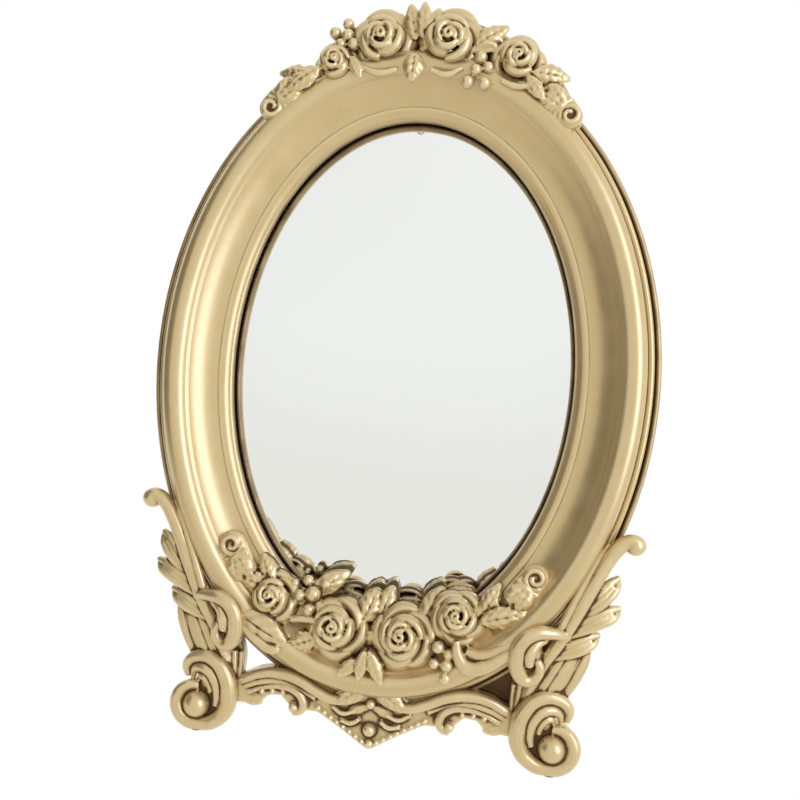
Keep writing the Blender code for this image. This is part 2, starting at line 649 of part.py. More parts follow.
def make_lower_garland(castings, parts, cutters, seat):
    """Garland of roses and leaves that overhangs the lower edge of the glass."""
    stations = [((u, v, GARLAND_STEM_HEIGHT), GARLAND_STEM_RADIUS) for u, v in GARLAND_STEM]
    stem = tube("lower_garland", stations, castings, parts)
    shapes = []
    for number, (u, v, radius) in enumerate(GARLAND_ROSES, 1):
        shapes.append(rose(f"garland_rose_{number}", u, v, radius, *GARLAND_ROSE_DEPTH, castings,
                           cutters))
    for number, (base, tip, width) in enumerate(GARLAND_LEAVES, 1):
        shapes.append(leaf(f"garland_leaf_{number}", base, tip, width, *GARLAND_LEAF_DEPTH, castings,
                           cutters))
    for number, (u, v) in enumerate(GARLAND_BERRIES, 1):
        height = GARLAND_BERRY_HEIGHT + 0.4 * (number % 3)
        shapes.append(berry(f"garland_berry_{number}", u, v, height, GARLAND_BERRY_RADIUS, castings,
                            cutters))
    for number, (u, v) in enumerate(GARLAND_CURLS, 1):
        shapes.append(curl(f"garland_curl_{number}", u, v, *GARLAND_CURL_DEPTH, GARLAND_CURL_RADIUS,
                           castings, cutters))
    join(stem, shapes)
    cut(stem, seat)
    return stem


def make_scroll_foot(name, side, castings, parts, cutters, seat, apron_room, floor):
    """Bracket with a rolled knob, feathers, a hooked knot, a leaf panel and a foot volute."""
    def turn(stations):
        return [((side * u, v, w), radius) for (u, v, w), radius in stations]

    body = plate(name, [(side * u, v) for u, v in FOOT_OUTLINE], *BRACKET_PLATE, castings, parts)
    shapes = [tube(f"{name}_arm", turn(FOOT_ARM), castings, cutters),
              tube(f"{name}_hook", turn(FOOT_HOOK), castings, cutters),
              tube(f"{name}_sweep", turn(FOOT_SWEEP), castings, cutters)]
    for number, (root, tip) in enumerate(FOOT_FEATHERS, 1):
        middle = [(a + b) / 2 for a, b in zip(root, tip)]
        stations = [((*root, 8.5), 2.2), ((*middle, 8.0), 2.6), ((*tip, 6.0), 1.5)]
        shapes.append(tube(f"{name}_feather_{number}", turn(stations), castings, cutters))
    u, v = side * FOOT_CENTRE[0], FOOT_CENTRE[1]
    shapes.append(cylinder(f"{name}_knob", FOOT_KNOB_RADIUS, *FOOT_KNOB_DEPTH, castings, cutters,
                           (side * FOOT_KNOB[0], FOOT_KNOB[1])))
    back, front = FOOT_THICKNESS
    rim = [(0.0, front + 3.4), (3.6, front + 2.2), (5.2, front - 1.6), (8.0, front - 1.6),
           (FOOT_RADIUS - 0.6, front), (FOOT_RADIUS, front - 1.4), (FOOT_RADIUS, back), (0.0, back)]
    shapes.append(turned(f"{name}_volute", rim, 24, castings, cutters, (u, v, 0.0)))
    join(body, shapes)
    cut(body, seat)
    cut(body, apron_room)
    cut(body, floor)
    return body


def make_apron(castings, parts, cutters, seat, floor):
    """Apron between the feet, with its rails, scrolls, lily leaves and pointed drop."""
    outline = list(APRON_OUTLINE) + [(-u, v) for u, v in APRON_OUTLINE[-2:0:-1]]
    apron = plate("apron", outline, *APRON_PLATE, castings, parts, smooth=False)
    shapes = [plate("apron_pocket", APRON_POCKET, *POCKET_FLOOR, castings, cutters, smooth=False)]
    for side, name in ((-1, "left"), (1, "right")):
        rail = [((side * u, v, w), radius) for (u, v, w), radius in APRON_RAIL]
        scroll = [((side * u, v, w), radius) for (u, v, w), radius in APRON_CURL]
        shapes.append(tube(f"apron_rail_{name}", rail, castings, cutters))
        shapes.append(tube(f"apron_scroll_{name}", scroll, castings, cutters))
        shapes.append(leaf(f"apron_leaf_{name}", (side * 1.5, -113.5), (side * 11.5, -121.5), 6.0,
                           8.0, 14.0, castings, cutters))
    shapes.append(berry("apron_bead", 0.0, -122.0, 11.2, 1.8, castings, cutters))
    shapes.append(berry("apron_boss", 0.0, -131.5, 10.6, 2.4, castings, cutters))
    join(apron, shapes)
    cut(apron, seat)
    cut(apron, floor)
    return apron


# ---------------------------------------------------------------- the whole mirror

def room_point(mirror_height, y_shift, v, w):
    """Room y and z, in millimetres, of a point on the mirror."""
    return (v * math.sin(LEAN) - w * math.cos(LEAN) + y_shift,
            mirror_height + v * math.cos(LEAN) + w * math.sin(LEAN))


def main():
    clear_scene()
    parts = collection_named("table_mirror")
    cutters = collection_named("cutters")

    # Height of the oval's middle above the floor, and the shift that centres the whole depth
    mid_foot = sum(FOOT_THICKNESS) / 2
    stretch_u, stretch_v = stretch()
    height = foot_drop() * math.cos(LEAN) - mid_foot * math.sin(LEAN)
    _, rose_v, rose_radius = GARLAND_ROSES[2]
    bud_v = (rose_v - ROSE_BUD * rose_radius) * stretch_v
    front = room_point(height, 0.0, bud_v, GARLAND_ROSE_DEPTH[1])[0]
    pin_y, pin_z = room_point(height, 0.0, HINGE_RISE, pin_depth())
    swing = LEG_OPENING - LEAN
    rear = pin_y + pin_z * math.tan(swing) + (LEG_THICKNESS - LEG_FRONT) / math.cos(swing)
    y_shift = -(front + rear) / 2

    mirror = empty("mirror_axes", None, (0.0, y_shift * MM, height * MM), math.pi / 2 - LEAN)
    leg = empty("leg_axes", mirror, (0.0, HINGE_RISE * MM, pin_depth() * MM), LEG_OPENING)
    castings = empty("casting_axes", mirror, (0.0, 0.0, 0.0), 0.0)
    castings.scale = (stretch_u, stretch_v, 1.0)
    bpy.context.view_layer.update()

    sole = PAD_THICKNESS + CLEARANCE
    floor = box("floor", (-200.0, -200.0, -60.0), (200.0, 200.0, sole), None, cutters)
    seat = make_seat_cutter(mirror, cutters)
    room = APRON_HALF_WIDTH + CLEARANCE
    apron_room = box("apron_room", (-room, -160.0, -10.0), (room, APRON_REACH, 40.0), castings, cutters)

    gold = material("gold_finish", (0.63, 0.47, 0.24), 0.32, 0.75)
    silver = material("silvered_glass", (0.86, 0.87, 0.86), 0.04, 1.0)
    card = material("grey_board", (0.34, 0.31, 0.27), 0.9)
    brown = material("brown_board", (0.055, 0.028, 0.02), 0.75)
    steel = material("zinc_steel", (0.56, 0.56, 0.55), 0.35, 1.0)
    rubber = material("dark_rubber", (0.02, 0.02, 0.02), 0.8)

    def finish(finish_material, *pieces):
        for piece in pieces:
            piece.data.materials.clear()
            piece.data.materials.append(finish_material)
            piece.data.shade_smooth()
            piece.data.set_sharp_from_angle(angle=math.radians(35))

    finish(gold, make_frame(mirror, parts, cutters))
    glass, board, cover = make_glass_and_back(mirror, parts, cutters)
    bracket, hinge_screws, pin = make_hinge(mirror, parts, cutters, cover)
    finish(silver, glass)
    finish(card, board)
    finish(brown, cover)
    finish(steel, bracket, pin, *hinge_screws, *make_cover_screws(mirror, parts))

    panel = make_leg(leg, parts, cutters, pin_z / math.cos(swing))
    cut(panel, floor)
    finish(brown, panel)
    finish(gold, make_crest(castings, parts, cutters, seat),
           make_lower_garland(castings, parts, cutters, seat),
           make_apron(castings, parts, cutters, seat, floor))
    for side, name in ((-1, "left_scroll_foot"), (1, "right_scroll_foot")):
        finish(gold, make_scroll_foot(name, side, castings, parts, cutters, seat, apron_room, floor))

    # Rubber pads under the three feet
    pad_v = (sole - height - mid_foot * math.sin(LEAN)) / math.cos(LEAN)
    pad_y = room_point(height, y_shift, pad_v, mid_foot)[0]
    for side, name in ((-1, "foot_pad_left"), (1, "foot_pad_right")):
        finish(rubber, cylinder(name, FOOT_PAD_RADIUS, 0.0, PAD_THICKNESS, None, parts,
                                (side * FOOT_CENTRE[0] * stretch_u, pad_y)))
    leg_y = pin_y + y_shift + (pin_z - sole) * math.tan(swing)
    leg_y += (LEG_THICKNESS / 2 - LEG_FRONT) / math.cos(swing)
    wide, deep = LEG_PAD_SIZE
    deep = min(deep, LEG_THICKNESS / math.cos(swing))
    finish(rubber, box("leg_pad", (-wide / 2, leg_y - deep / 2, 0.0),
                       (wide / 2, leg_y + deep / 2, PAD_THICKNESS), None, parts))


main()
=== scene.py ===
"""Visual model of an oval table mirror: gold castings, silvered glass, brown back and easel leg.

Pieces are drawn in mirror coordinates, in millimetres: u to the right, v up along the mirror and w
out of its face, from the middle of the frame's back. They are then leaned back into the room.
"""
import math

import bpy
import numpy as np
from mathutils import Matrix, Vector


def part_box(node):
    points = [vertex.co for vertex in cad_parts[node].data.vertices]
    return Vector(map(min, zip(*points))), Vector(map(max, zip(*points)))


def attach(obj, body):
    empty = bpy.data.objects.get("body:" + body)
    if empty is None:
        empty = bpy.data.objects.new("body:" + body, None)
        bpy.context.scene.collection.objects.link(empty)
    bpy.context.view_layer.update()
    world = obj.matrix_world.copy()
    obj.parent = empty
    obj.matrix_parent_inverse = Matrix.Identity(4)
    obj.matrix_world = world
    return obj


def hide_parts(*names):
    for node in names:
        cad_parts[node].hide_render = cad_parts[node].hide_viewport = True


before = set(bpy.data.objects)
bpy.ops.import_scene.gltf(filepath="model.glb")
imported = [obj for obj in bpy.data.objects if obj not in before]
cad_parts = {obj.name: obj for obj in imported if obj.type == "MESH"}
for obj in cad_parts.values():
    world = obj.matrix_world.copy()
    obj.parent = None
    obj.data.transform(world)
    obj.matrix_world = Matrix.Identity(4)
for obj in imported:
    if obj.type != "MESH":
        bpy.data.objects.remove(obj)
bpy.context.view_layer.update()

bl_info = {
    "name": "Oval Table Mirror",
    "version": (1, 0, 0),
    "blender": (4, 5, 0),
    "location": "View3D > Sidebar > Table Mirror",
    "description": "Builds the pieces, finishes and stage of an oval mirror with rose garlands",
    "category": "Add Mesh",
}

MM = 0.001
ROOT, LEG = "mirror", "leg"      # the two bodies

# Grooves of the moulding that hold dark colour, partly brown patina and partly painted shade; the
# crease under the ridge and the step by the sight edge hold only painted shade lines: inset,
# height, reach and strength
FRAME_GROOVES = (
    (2.2, 4.5, 1.5, 1.0), (5.8, 7.6, 1.0, 0.8), (15.7, 13.6, 0.7, 0.2), (26.1, 7.4, 0.4, 0.5))

# Moulding of the frame; an inset is measured inwards from its outer edge
HALF_WIDTH, HALF_HEIGHT = 95.0, 124.2
END_WIDENING = 0.96
RIM_DEPTH = 6.6
MOULDING_WIDTH = 30.8
GLASS_FRONT, GLASS_THICKNESS, GLASS_LAP = 2.0, 3.0, 5.7
SILVER_HEIGHT = 1.2              # of the reflecting face, behind the glass's front
COVER_INSET, COVER_THICKNESS = 12.3, 3.0
SCREW_INSET, COVER_SCREWS = 19.0, 6
HINGE_RISE, PIN_DEPTH = 28.0, -13.0
BRACKET_FRONT, BRACKET_BACK = -6.9, -8.4
BRACKET_HALF_WIDTH, BRACKET_HALF_HEIGHT = 38.0, 9.0
LUG_RADIUS, LUG_HALF_THICKNESS, LUG_PLACE = 4.2, 1.0, 24.8
PIN_RADIUS, PIN_REACH, PIN_HEAD_RADIUS, PIN_HEAD_PLACE = 1.5, 26.4, 2.6, 26.7
BORE_RADIUS, BORE_REACH = 1.85, 60.0
LEG_OPENING = math.radians(30.0)
LEG_LENGTH, LEG_BACK, LEG_FRONT = 170.0, -3.0, 1.5
BARREL_RADIUS, BARREL_REACH = 4.0, 23.5
SOLE_HEIGHT = 1.8                # of the castings' flat soles above the floor

# How far the surface is smoothed to find fine and broad recesses, in steps and in millimetres
FINE_STEPS, FINE_DEPTH = 10, 0.15
BROAD_STEPS, BROAD_DEPTH = 60, 0.7

# Camera in mirror coordinates, in millimetres
CAMERA_PLACE = (42.9, -8.0, 338.0)
CAMERA_ACROSS, CAMERA_UPWARD = (0.9887, 0.0820, -0.1252), (-0.0820, 0.9966, 0.0061)

# Pane of light on the right and dark cloth on the left, in metres in the room
WINDOW_PLACE, WINDOW_TARGET = (0.85, -0.62, 0.50), (0.0, 0.0, 0.13)
WINDOW_SIZE, WINDOW_POWER, WINDOW_COLOUR = (0.5, 0.9), 3.6, (0.84, 0.98, 1.4)
CLOTH_PLACE, CLOTH_TURN, CLOTH_HEIGHT = (-0.75, -0.30, 0.48), math.radians(-12.0), 0.95


def room_matrix():
    """From mirror coordinates in metres to the room, found from the glass's place."""
    low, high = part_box("mirror_glass")
    sizes = bpy.context.scene.mirror_sizes
    turn = Matrix.Rotation(math.pi / 2 - sizes.lean, 4, "X")
    middle = Vector((0.0, 0.0, (GLASS_FRONT - GLASS_THICKNESS / 2) * MM))
    return Matrix.Translation((low + high) / 2) @ turn @ Matrix.Translation(-middle)


def leg_matrix():
    """From the leg's own coordinates, about its pin, to the room."""
    place = Matrix.Translation(Vector((0.0, HINGE_RISE, PIN_DEPTH)) * MM)
    return room_matrix() @ place @ Matrix.Rotation(LEG_OPENING, 4, "X")


# ---------------------------------------------------------------- modelling helpers

def pick(*pieces):
    """Select only these pieces, the last one active."""
    bpy.ops.object.select_all(action="DESELECT")
    for piece in pieces:
        piece.select_set(True)
    bpy.context.view_layer.objects.active = pieces[-1]


def apply_all(piece):
    """Apply every modifier of a piece."""
    pick(piece)
    for modifier in list(piece.modifiers):
        bpy.ops.object.modifier_apply(modifier=modifier.name)


def frozen(name=None, scale=None):
    """The shape made last, named and scaled, with its transform applied."""
    piece = bpy.context.object
    if name:
        piece.name = name
    if scale:
        piece.scale = scale
    bpy.ops.object.transform_apply(location=True, rotation=True, scale=True)
    return piece


def rounded(piece, width, segments=2, angle=30.0):
    """Round the edges of a piece that are sharper than an angle in degrees."""
    bevel = piece.modifiers.new("edge", "BEVEL")
    bevel.width = width * MM
    bevel.segments = segments
    bevel.limit_method = "ANGLE"
    bevel.angle_limit = math.radians(angle)
    apply_all(piece)
    return piece


def select_all(action):
    """Select or deselect the whole mesh of the active piece, which stays in edit mode."""
    bpy.ops.object.mode_set(mode="EDIT")
    bpy.ops.mesh.select_all(action=action)


def weld(piece, distance=1e-6):
    """Close the seams of a piece and turn its faces outwards."""
    pick(piece)
    select_all("SELECT")
    bpy.ops.mesh.remove_doubles(threshold=distance)
    bpy.ops.mesh.normals_make_consistent(inside=False)
    bpy.ops.object.mode_set(mode="OBJECT")


def joined(name, pieces):
    """One object of several."""
    pick(*pieces)
    if len(pieces) > 1:
        bpy.ops.object.join()
    piece = bpy.context.view_layer.objects.active
    piece.name = name
    return piece


def copied(master, matrix):
    """A copy of a master shape with its own mesh, put in place."""
    copy = bpy.data.objects.new(master.name + "_copy", master.data.copy())
    bpy.context.scene.collection.objects.link(copy)
    copy.data.transform(matrix)
    if matrix.determinant() < 0.0:
        copy.data.flip_normals()
    return copy


def discard(*pieces):
    """Remove shapes that are used up."""
    for piece in pieces:
        bpy.data.objects.remove(piece)


def points_of(piece):
    """Vertex places of a piece as an array."""
    points = np.empty(len(piece.data.vertices) * 3, np.float32)
    piece.data.vertices.foreach_get("co", points)
    return points.reshape(-1, 3).astype(float)


def set_points(piece, points):
    """Move the vertices of a piece."""
    piece.data.vertices.foreach_set("co", np.ascontiguousarray(points, np.float32).ravel())
    piece.data.update()


def shaped_sheet(name, columns, rows, shape, thickness):
    """Thick sheet bent by a rule shape(across, along), from -1 to 1 across and 0 to 1 along."""
    bpy.ops.mesh.primitive_grid_add(x_subdivisions=columns, y_subdivisions=rows, size=2.0)
    piece = bpy.context.object
    piece.name = name
    flat = points_of(piece)
    set_points(piece, np.stack(shape(flat[:, 0], (flat[:, 1] + 1.0) / 2.0), axis=1))
    wall = piece.modifiers.new("wall", "SOLIDIFY")
    wall.thickness = thickness
    wall.offset = 0.0
    apply_all(piece)
    return piece


def swept(name, runs, section=None, smoothness=6):
    """Bars along smooth runs of stations (u, v, w, half width), round or with a drawn section."""
    bpy.ops.curve.primitive_bezier_curve_add()
    bar = bpy.context.object
    bar.name = name
    data = bar.data
    data.splines.clear()
    data.dimensions = "3D"
    data.twist_mode = "Z_UP"
    data.use_fill_caps = True
    data.resolution_u = smoothness
    if section is None:
        data.bevel_depth = MM
        data.bevel_resolution = 4
    else:
        data.bevel_mode = "OBJECT"
        data.bevel_object = section
    for run in runs:
        spline = data.splines.new("BEZIER")
        spline.bezier_points.add(len(run) - 1)
        for point, (u, v, w, half_width) in zip(spline.bezier_points, run):
            point.co = Vector((u, v, w)) * MM
            point.radius = half_width
            point.handle_left_type = point.handle_right_type = "AUTO"
    pick(bar)
    bpy.ops.object.convert(target="MESH")
    bar = bpy.context.object
    weld(bar)
    return bar


def ball(u, v, w, radius, squash=1.0):
    """Round bead or berry."""
    bpy.ops.mesh.primitive_uv_sphere_add(segments=20, ring_count=12, radius=radius * MM,
                                         location=Vector((u, v, w)) * MM)
    return frozen(scale=(1.0, 1.0, squash))


def drum(u, v, w, radius, depth, vertices):
    """Upright cylinder about its middle."""
    bpy.ops.mesh.primitive_cylinder_add(vertices=vertices, radius=radius * MM, depth=depth * MM,
                                        location=Vector((u, v, w)) * MM)
    return frozen()


def slab(name, outline, back, front, round_edge=0.6, smooth=True):
    """Flat plate of a drawn outline, with rounded edges."""
    bpy.ops.curve.primitive_bezier_curve_add()
    drawing = bpy.context.object
    drawing.name = name
    data = drawing.data
    data.splines.clear()
    data.dimensions = "2D"
    data.fill_mode = "BOTH"
    data.extrude = ((front - back) / 2 - round_edge) * MM
    data.bevel_depth = round_edge * MM
    data.bevel_resolution = 2
    data.offset = -round_edge * MM
    data.resolution_u = 8 if smooth else 1
    spline = data.splines.new("BEZIER")
    spline.use_cyclic_u = True
    spline.bezier_points.add(len(outline) - 1)
    for point, (u, v) in zip(spline.bezier_points, outline):
        point.co = (u * MM, v * MM, 0.0)
        point.handle_left_type = point.handle_right_type = "AUTO" if smooth else "VECTOR"
    pick(drawing)
    bpy.ops.object.convert(target="MESH")
    plate = bpy.context.object
    plate.data.transform(Matrix.Translation((0.0, 0.0, (back + front) / 2 * MM)))
    weld(plate)
    return plate


def fused(name, shapes):
    """Melt overlapping shapes into one casting, with the soft creases of thick paint."""
    piece = joined(name, shapes)
    remesh = piece.modifiers.new("melt", "REMESH")
    remesh.mode = "VOXEL"
    remesh.voxel_size = bpy.context.scene.mirror_sizes.carving_grain * MM
    smooth = piece.modifiers.new("soften", "SMOOTH")
    smooth.iterations = 2
    smooth.factor = 0.5
    apply_all(piece)
    return piece


def level_cut(piece, height):
    """Cut a piece, already in the room, flat at a height above the floor."""
    pick(piece)
    select_all("SELECT")
    bpy.ops.mesh.bisect(plane_co=(0.0, 0.0, height), plane_no=(0.0, 0.0, 1.0), use_fill=True,
                        clear_inner=True)
    bpy.ops.object.mode_set(mode="OBJECT")


def neighbour_mean(values, first, second, counts):
    """Mean of each vertex's neighbours."""
    size = len(counts)
    total = np.empty_like(values)
    for axis in range(values.shape[1]):
        total[:, axis] = np.bincount(first, values[second, axis], size)
        total[:, axis] += np.bincount(second, values[first, axis], size)
    return total / counts[:, None]


def store_wear_and_painted_light(piece, recess, edge):
    """Keep the two values, of patina and painted shade and of wear and painted highlight, on the
    mesh, where the gold finish reads them.
    """
    for name, values in (("recess", recess), ("edge", edge)):
        layer = piece.data.attributes.new(name, "FLOAT", "POINT")
        layer.data.foreach_set("value", values.astype(np.float32))


def mark_wear_and_painted_light(piece, floor_range=None, floor_depth=0.5, wall_band=None):
    """Store how far each point lies in a recess and on an edge: brown patina in the recesses, and
    lighter worn gold on the raised edges that partly paints highlights.

    The floor of a casting darkens from the high to the low end of floor_range, and its upright
    walls darken within wall_band, as painted shade.
    """
    mesh = piece.data
    places = points_of(piece)
    normals = np.empty(len(places) * 3, np.float32)
    mesh.vertex_normals.foreach_get("vector", normals)
    normals = normals.reshape(-1, 3)
    ends = np.empty(len(mesh.edges) * 2, np.int32)
    mesh.edges.foreach_get("vertices", ends)
    first, second = ends[::2], ends[1::2]
    counts = np.maximum(np.bincount(ends, minlength=len(places)), 1).astype(float)
    smooth = places.copy()
    sunk = {}
    for step in range(1, BROAD_STEPS + 1):
        smooth = neighbour_mean(smooth, first, second, counts)
        if step in (FINE_STEPS, BROAD_STEPS):
            sunk[step] = ((smooth - places) * normals).sum(axis=1) / MM
    near, far = sunk[FINE_STEPS] / FINE_DEPTH, sunk[BROAD_STEPS] / BROAD_DEPTH
    recess = np.clip(0.75 * np.clip(near, 0, 1.3) + 0.35 * np.clip(far, 0, 1.3), 0.0, 1.0)
    # Lighter worn gold on raised edges, partly a painted highlight
    edge = np.clip(0.6 * np.clip(-near - 0.25, 0, 1.5) - 0.5 * recess, 0.0, 1.0)
    if floor_range is not None:
        low, high = floor_range
        sinking = np.clip((high - places[:, 2] / MM) / (high - low), 0.0, 1.0)
        facing = np.clip(normals[:, 2] * 1.5, 0.0, 1.0)
        recess = np.clip(recess + floor_depth * sinking * facing, 0.0, 1.0)
    # Painted shade on upright walls between the band's heights
    if wall_band is not None:
        standing = np.clip(1.1 - 1.8 * normals[:, 2], 0.0, 1.0)
        low, high = wall_band
        within = np.clip((places[:, 2] / MM - low) / 0.6, 0.0, 1.0)
        within *= np.clip((high - places[:, 2] / MM) / 1.2, 0.0, 1.0)
        recess = np.maximum(recess, standing * within)
    store_wear_and_painted_light(piece, recess, edge)


def settle(piece, matrix, body, slot, finish, *nodes, smooth_angle=None):
    """Put a finished piece in the room, give it its material and let it ride on its body."""
    piece.data.transform(matrix)
    piece.data.materials.clear()
    piece.data.materials.append(finish)
    pick(piece)
    if smooth_angle is None:
        bpy.ops.object.shade_smooth()
    else:
        bpy.ops.object.shade_smooth_by_angle(angle=math.radians(smooth_angle))
    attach(piece, body)
    if nodes:
        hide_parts(*nodes)
    return piece


# ---------------------------------------------------------------- finishes

def node_group(name, inputs, outputs):
    """Shader node group with named sockets, each (name, type, default)."""
    made = bpy.data.node_groups.get(name)
    if made:
        return made, None
    made = bpy.data.node_groups.new(name, "ShaderNodeTree")
    for label, kind, default in inputs:
        socket = made.interface.new_socket(label, in_out="INPUT", socket_type=kind)
        if default is not None:
            socket.default_value = default
    for label, kind in outputs:
        made.interface.new_socket(label, in_out="OUTPUT", socket_type=kind)
    return made, Nodes(made)


class Nodes:
    """Short way to add and wire shader nodes."""

    def __init__(self, tree):
        self.tree = tree

    def add(self, kind, **values):
        node = self.tree.nodes.new(kind)
        for key, value in values.items():
            setattr(node, key, value)
        return node

    def wire(self, source, target):
        self.tree.links.new(source, target)

    def math(self, operation, first, second=None, clamp=False):
        node = self.add("ShaderNodeMath", operation=operation, use_clamp=clamp)
        for socket, value in zip(node.inputs, (first, second)):
            self.feed(socket, value)
        return node.outputs[0]

    def feed(self, socket, value):
        if value is None:
            return
        if hasattr(value, "is_output"):
            self.wire(value, socket)
        else:
            socket.default_value = value

    def mix(self, factor, first, second):
        node = self.add("ShaderNodeMix", data_type="RGBA")
        self.feed(node.inputs["Factor"], factor)
        self.feed(node.inputs["A"], first)
        self.feed(node.inputs["B"], second)
        return node.outputs["Result"]

    def noise(self, vector, scale, detail=3.0):
        node = self.add("ShaderNodeTexNoise")
        node.inputs["Scale"].default_value = scale
        node.inputs["Detail"].default_value = detail
        node.inputs["Roughness"].default_value = 0.55
        self.wire(vector, node.inputs["Vector"])
        return node.outputs["Fac"]

    def remap(self, value, low, high, out_low=0.0, out_high=1.0):
        node = self.add("ShaderNodeMapRange")
        self.feed(node.inputs["Value"], value)
        for label, number in (("From Min", low), ("From Max", high), ("To Min", out_low),
                              ("To Max", out_high)):
            self.feed(node.inputs[label], number)
        return node.outputs["Result"]


COLOUR, FLOAT, VECTOR = "NodeSocketColor", "NodeSocketFloat", "NodeSocketVector"


def antique_and_shade_group():
    """Paint that thins to a bright edge and holds brown colour in its recesses, as wear and patina
    and also as painted highlight and painted shade.
    """
    group, nodes = node_group(
        "antique_and_shade_paint",
        [("Paint", COLOUR, None), ("Antique And Shade", COLOUR, None), ("Worn Edge And Highlight", COLOUR, None),
         ("Recess", FLOAT, 0.0), ("Edge", FLOAT, 0.0), ("Place", VECTOR, None)],
        [("Color", COLOUR), ("Metallic", FLOAT), ("Roughness", FLOAT), ("Height", FLOAT)])
    if nodes is None:
        return group
    entry, leave = nodes.add("NodeGroupInput"), nodes.add("NodeGroupOutput")
    place = entry.outputs["Place"]
    cloud = nodes.noise(place, 90.0, 4.0)
    speck = nodes.noise(place, 1400.0, 2.0)
    # Brown of patina and painted shade where the Recess mask is high, with random blotches
    blotch = nodes.remap(cloud, 0.35, 0.7, -0.12, 0.07)
    sink = nodes.math("ADD", entry.outputs["Recess"], blotch, clamp=True)
    sink = nodes.math("POWER", nodes.remap(sink, 0.10, 0.82), 1.2)
    tone = nodes.mix(nodes.remap(cloud, 0.3, 0.75, 0.0, 0.16), entry.outputs["Paint"],
                     entry.outputs["Worn Edge And Highlight"])
    # Lighter gold of worn edges and painted highlights where the Edge mask is high
    tone = nodes.mix(nodes.math("MULTIPLY", entry.outputs["Edge"], 0.7), tone,
                     entry.outputs["Worn Edge And Highlight"])
    tone = nodes.mix(sink, tone, entry.outputs["Antique And Shade"])
    nodes.wire(tone, leave.inputs["Color"])
    nodes.wire(nodes.remap(sink, 0.0, 1.0, 0.64, 0.86), leave.inputs["Metallic"])
    rough = nodes.remap(sink, 0.0, 1.0, 0.30, 0.6)
    rough = nodes.math("ADD", rough, nodes.remap(speck, 0.3, 0.7, -0.02, 0.03))
    rough = nodes.math("ADD", rough, nodes.remap(cloud, 0.3, 0.7, -0.03, 0.05))
    nodes.wire(rough, leave.inputs["Roughness"])
    height = nodes.math("ADD", nodes.math("MULTIPLY", speck, 0.14), cloud)
    nodes.wire(height, leave.inputs["Height"])
    return group


def grain_group():
    """Two sizes of noise, for the grain of boards, rubber and plated steel."""
    group, nodes = node_group(
        "surface_grain",
        [("Dark", COLOUR, None), ("Light", COLOUR, None), ("Place", VECTOR, None),
         ("Coarse", FLOAT, 60.0), ("Fine", FLOAT, 900.0), ("Roughness", FLOAT, 0.6),
         ("Roughness Spread", FLOAT, 0.1)],
        [("Color", COLOUR), ("Roughness", FLOAT), ("Height", FLOAT)])
    if nodes is None:
        return group
    entry, leave = nodes.add("NodeGroupInput"), nodes.add("NodeGroupOutput")
    parts = []
    for label in ("Coarse", "Fine"):
        noise = nodes.add("ShaderNodeTexNoise")
        noise.inputs["Detail"].default_value = 4.0
        nodes.wire(entry.outputs["Place"], noise.inputs["Vector"])
        nodes.wire(entry.outputs[label], noise.inputs["Scale"])
        parts.append(noise.outputs["Fac"])
    blend = nodes.math("ADD", nodes.math("MULTIPLY", parts[0], 0.55),
                       nodes.math("MULTIPLY", parts[1], 0.45))
    mask = nodes.remap(blend, 0.32, 0.68)
    tone = nodes.mix(mask, entry.outputs["Dark"], entry.outputs["Light"])
    nodes.wire(tone, leave.inputs["Color"])
    spread = nodes.math("MULTIPLY", nodes.math("SUBTRACT", mask, 0.5),
                        entry.outputs["Roughness Spread"])
    nodes.wire(nodes.math("ADD", entry.outputs["Roughness"], spread), leave.inputs["Roughness"])
    nodes.wire(blend, leave.inputs["Height"])
    return group


def new_finish(name):
    """Empty material with a Principled shader."""
    finish = bpy.data.materials.new(name)
    finish.use_nodes = True
    return finish, Nodes(finish.node_tree), finish.node_tree.nodes["Principled BSDF"]


def add_bump(nodes, shader, height, strength, distance):
    """Let a height move the shader's normal."""
    bump = nodes.add("ShaderNodeBump")
    bump.inputs["Strength"].default_value = strength
    bump.inputs["Distance"].default_value = distance
    nodes.wire(height, bump.inputs["Height"])
    nodes.wire(bump.outputs["Normal"], shader.inputs["Normal"])


def gold_finish():
    """Satin champagne gold over brown, wiped off the raised edges; its brown and lighter gold also
    paint shade and highlights where the meshes mark them.
    """
    found = bpy.data.materials.get("champagne_gold")
    if found:
        return found
    colours = bpy.context.scene.mirror_colours
    finish, nodes, shader = new_finish("champagne_gold")
    group = nodes.add("ShaderNodeGroup", node_tree=antique_and_shade_group())
    group.inputs["Paint"].default_value = (*colours.gold, 1.0)
    group.inputs["Antique And Shade"].default_value = (*colours.antique_and_shade, 1.0)
    group.inputs["Worn Edge And Highlight"].default_value = (*colours.worn_gold_and_highlight, 1.0)
    place = nodes.add("ShaderNodeTexCoord").outputs["Object"]
    nodes.wire(place, group.inputs["Place"])
    # Marks of patina and painted shade, and of wear and painted highlight, stored on each mesh
    for label, name in (("Recess", "recess"), ("Edge", "edge")):
        layer = nodes.add("ShaderNodeAttribute", attribute_name=name)
        nodes.wire(layer.outputs["Fac"], group.inputs[label])
    for label, target in (("Color", "Base Color"), ("Metallic", "Metallic"),
                          ("Roughness", "Roughness")):
        nodes.wire(group.outputs[label], shader.inputs[target])
    add_bump(nodes, shader, group.outputs["Height"], 0.25, 0.0002)
    shader.inputs["Coat Weight"].default_value = 0.3
    shader.inputs["Coat Roughness"].default_value = 0.22
    return finish


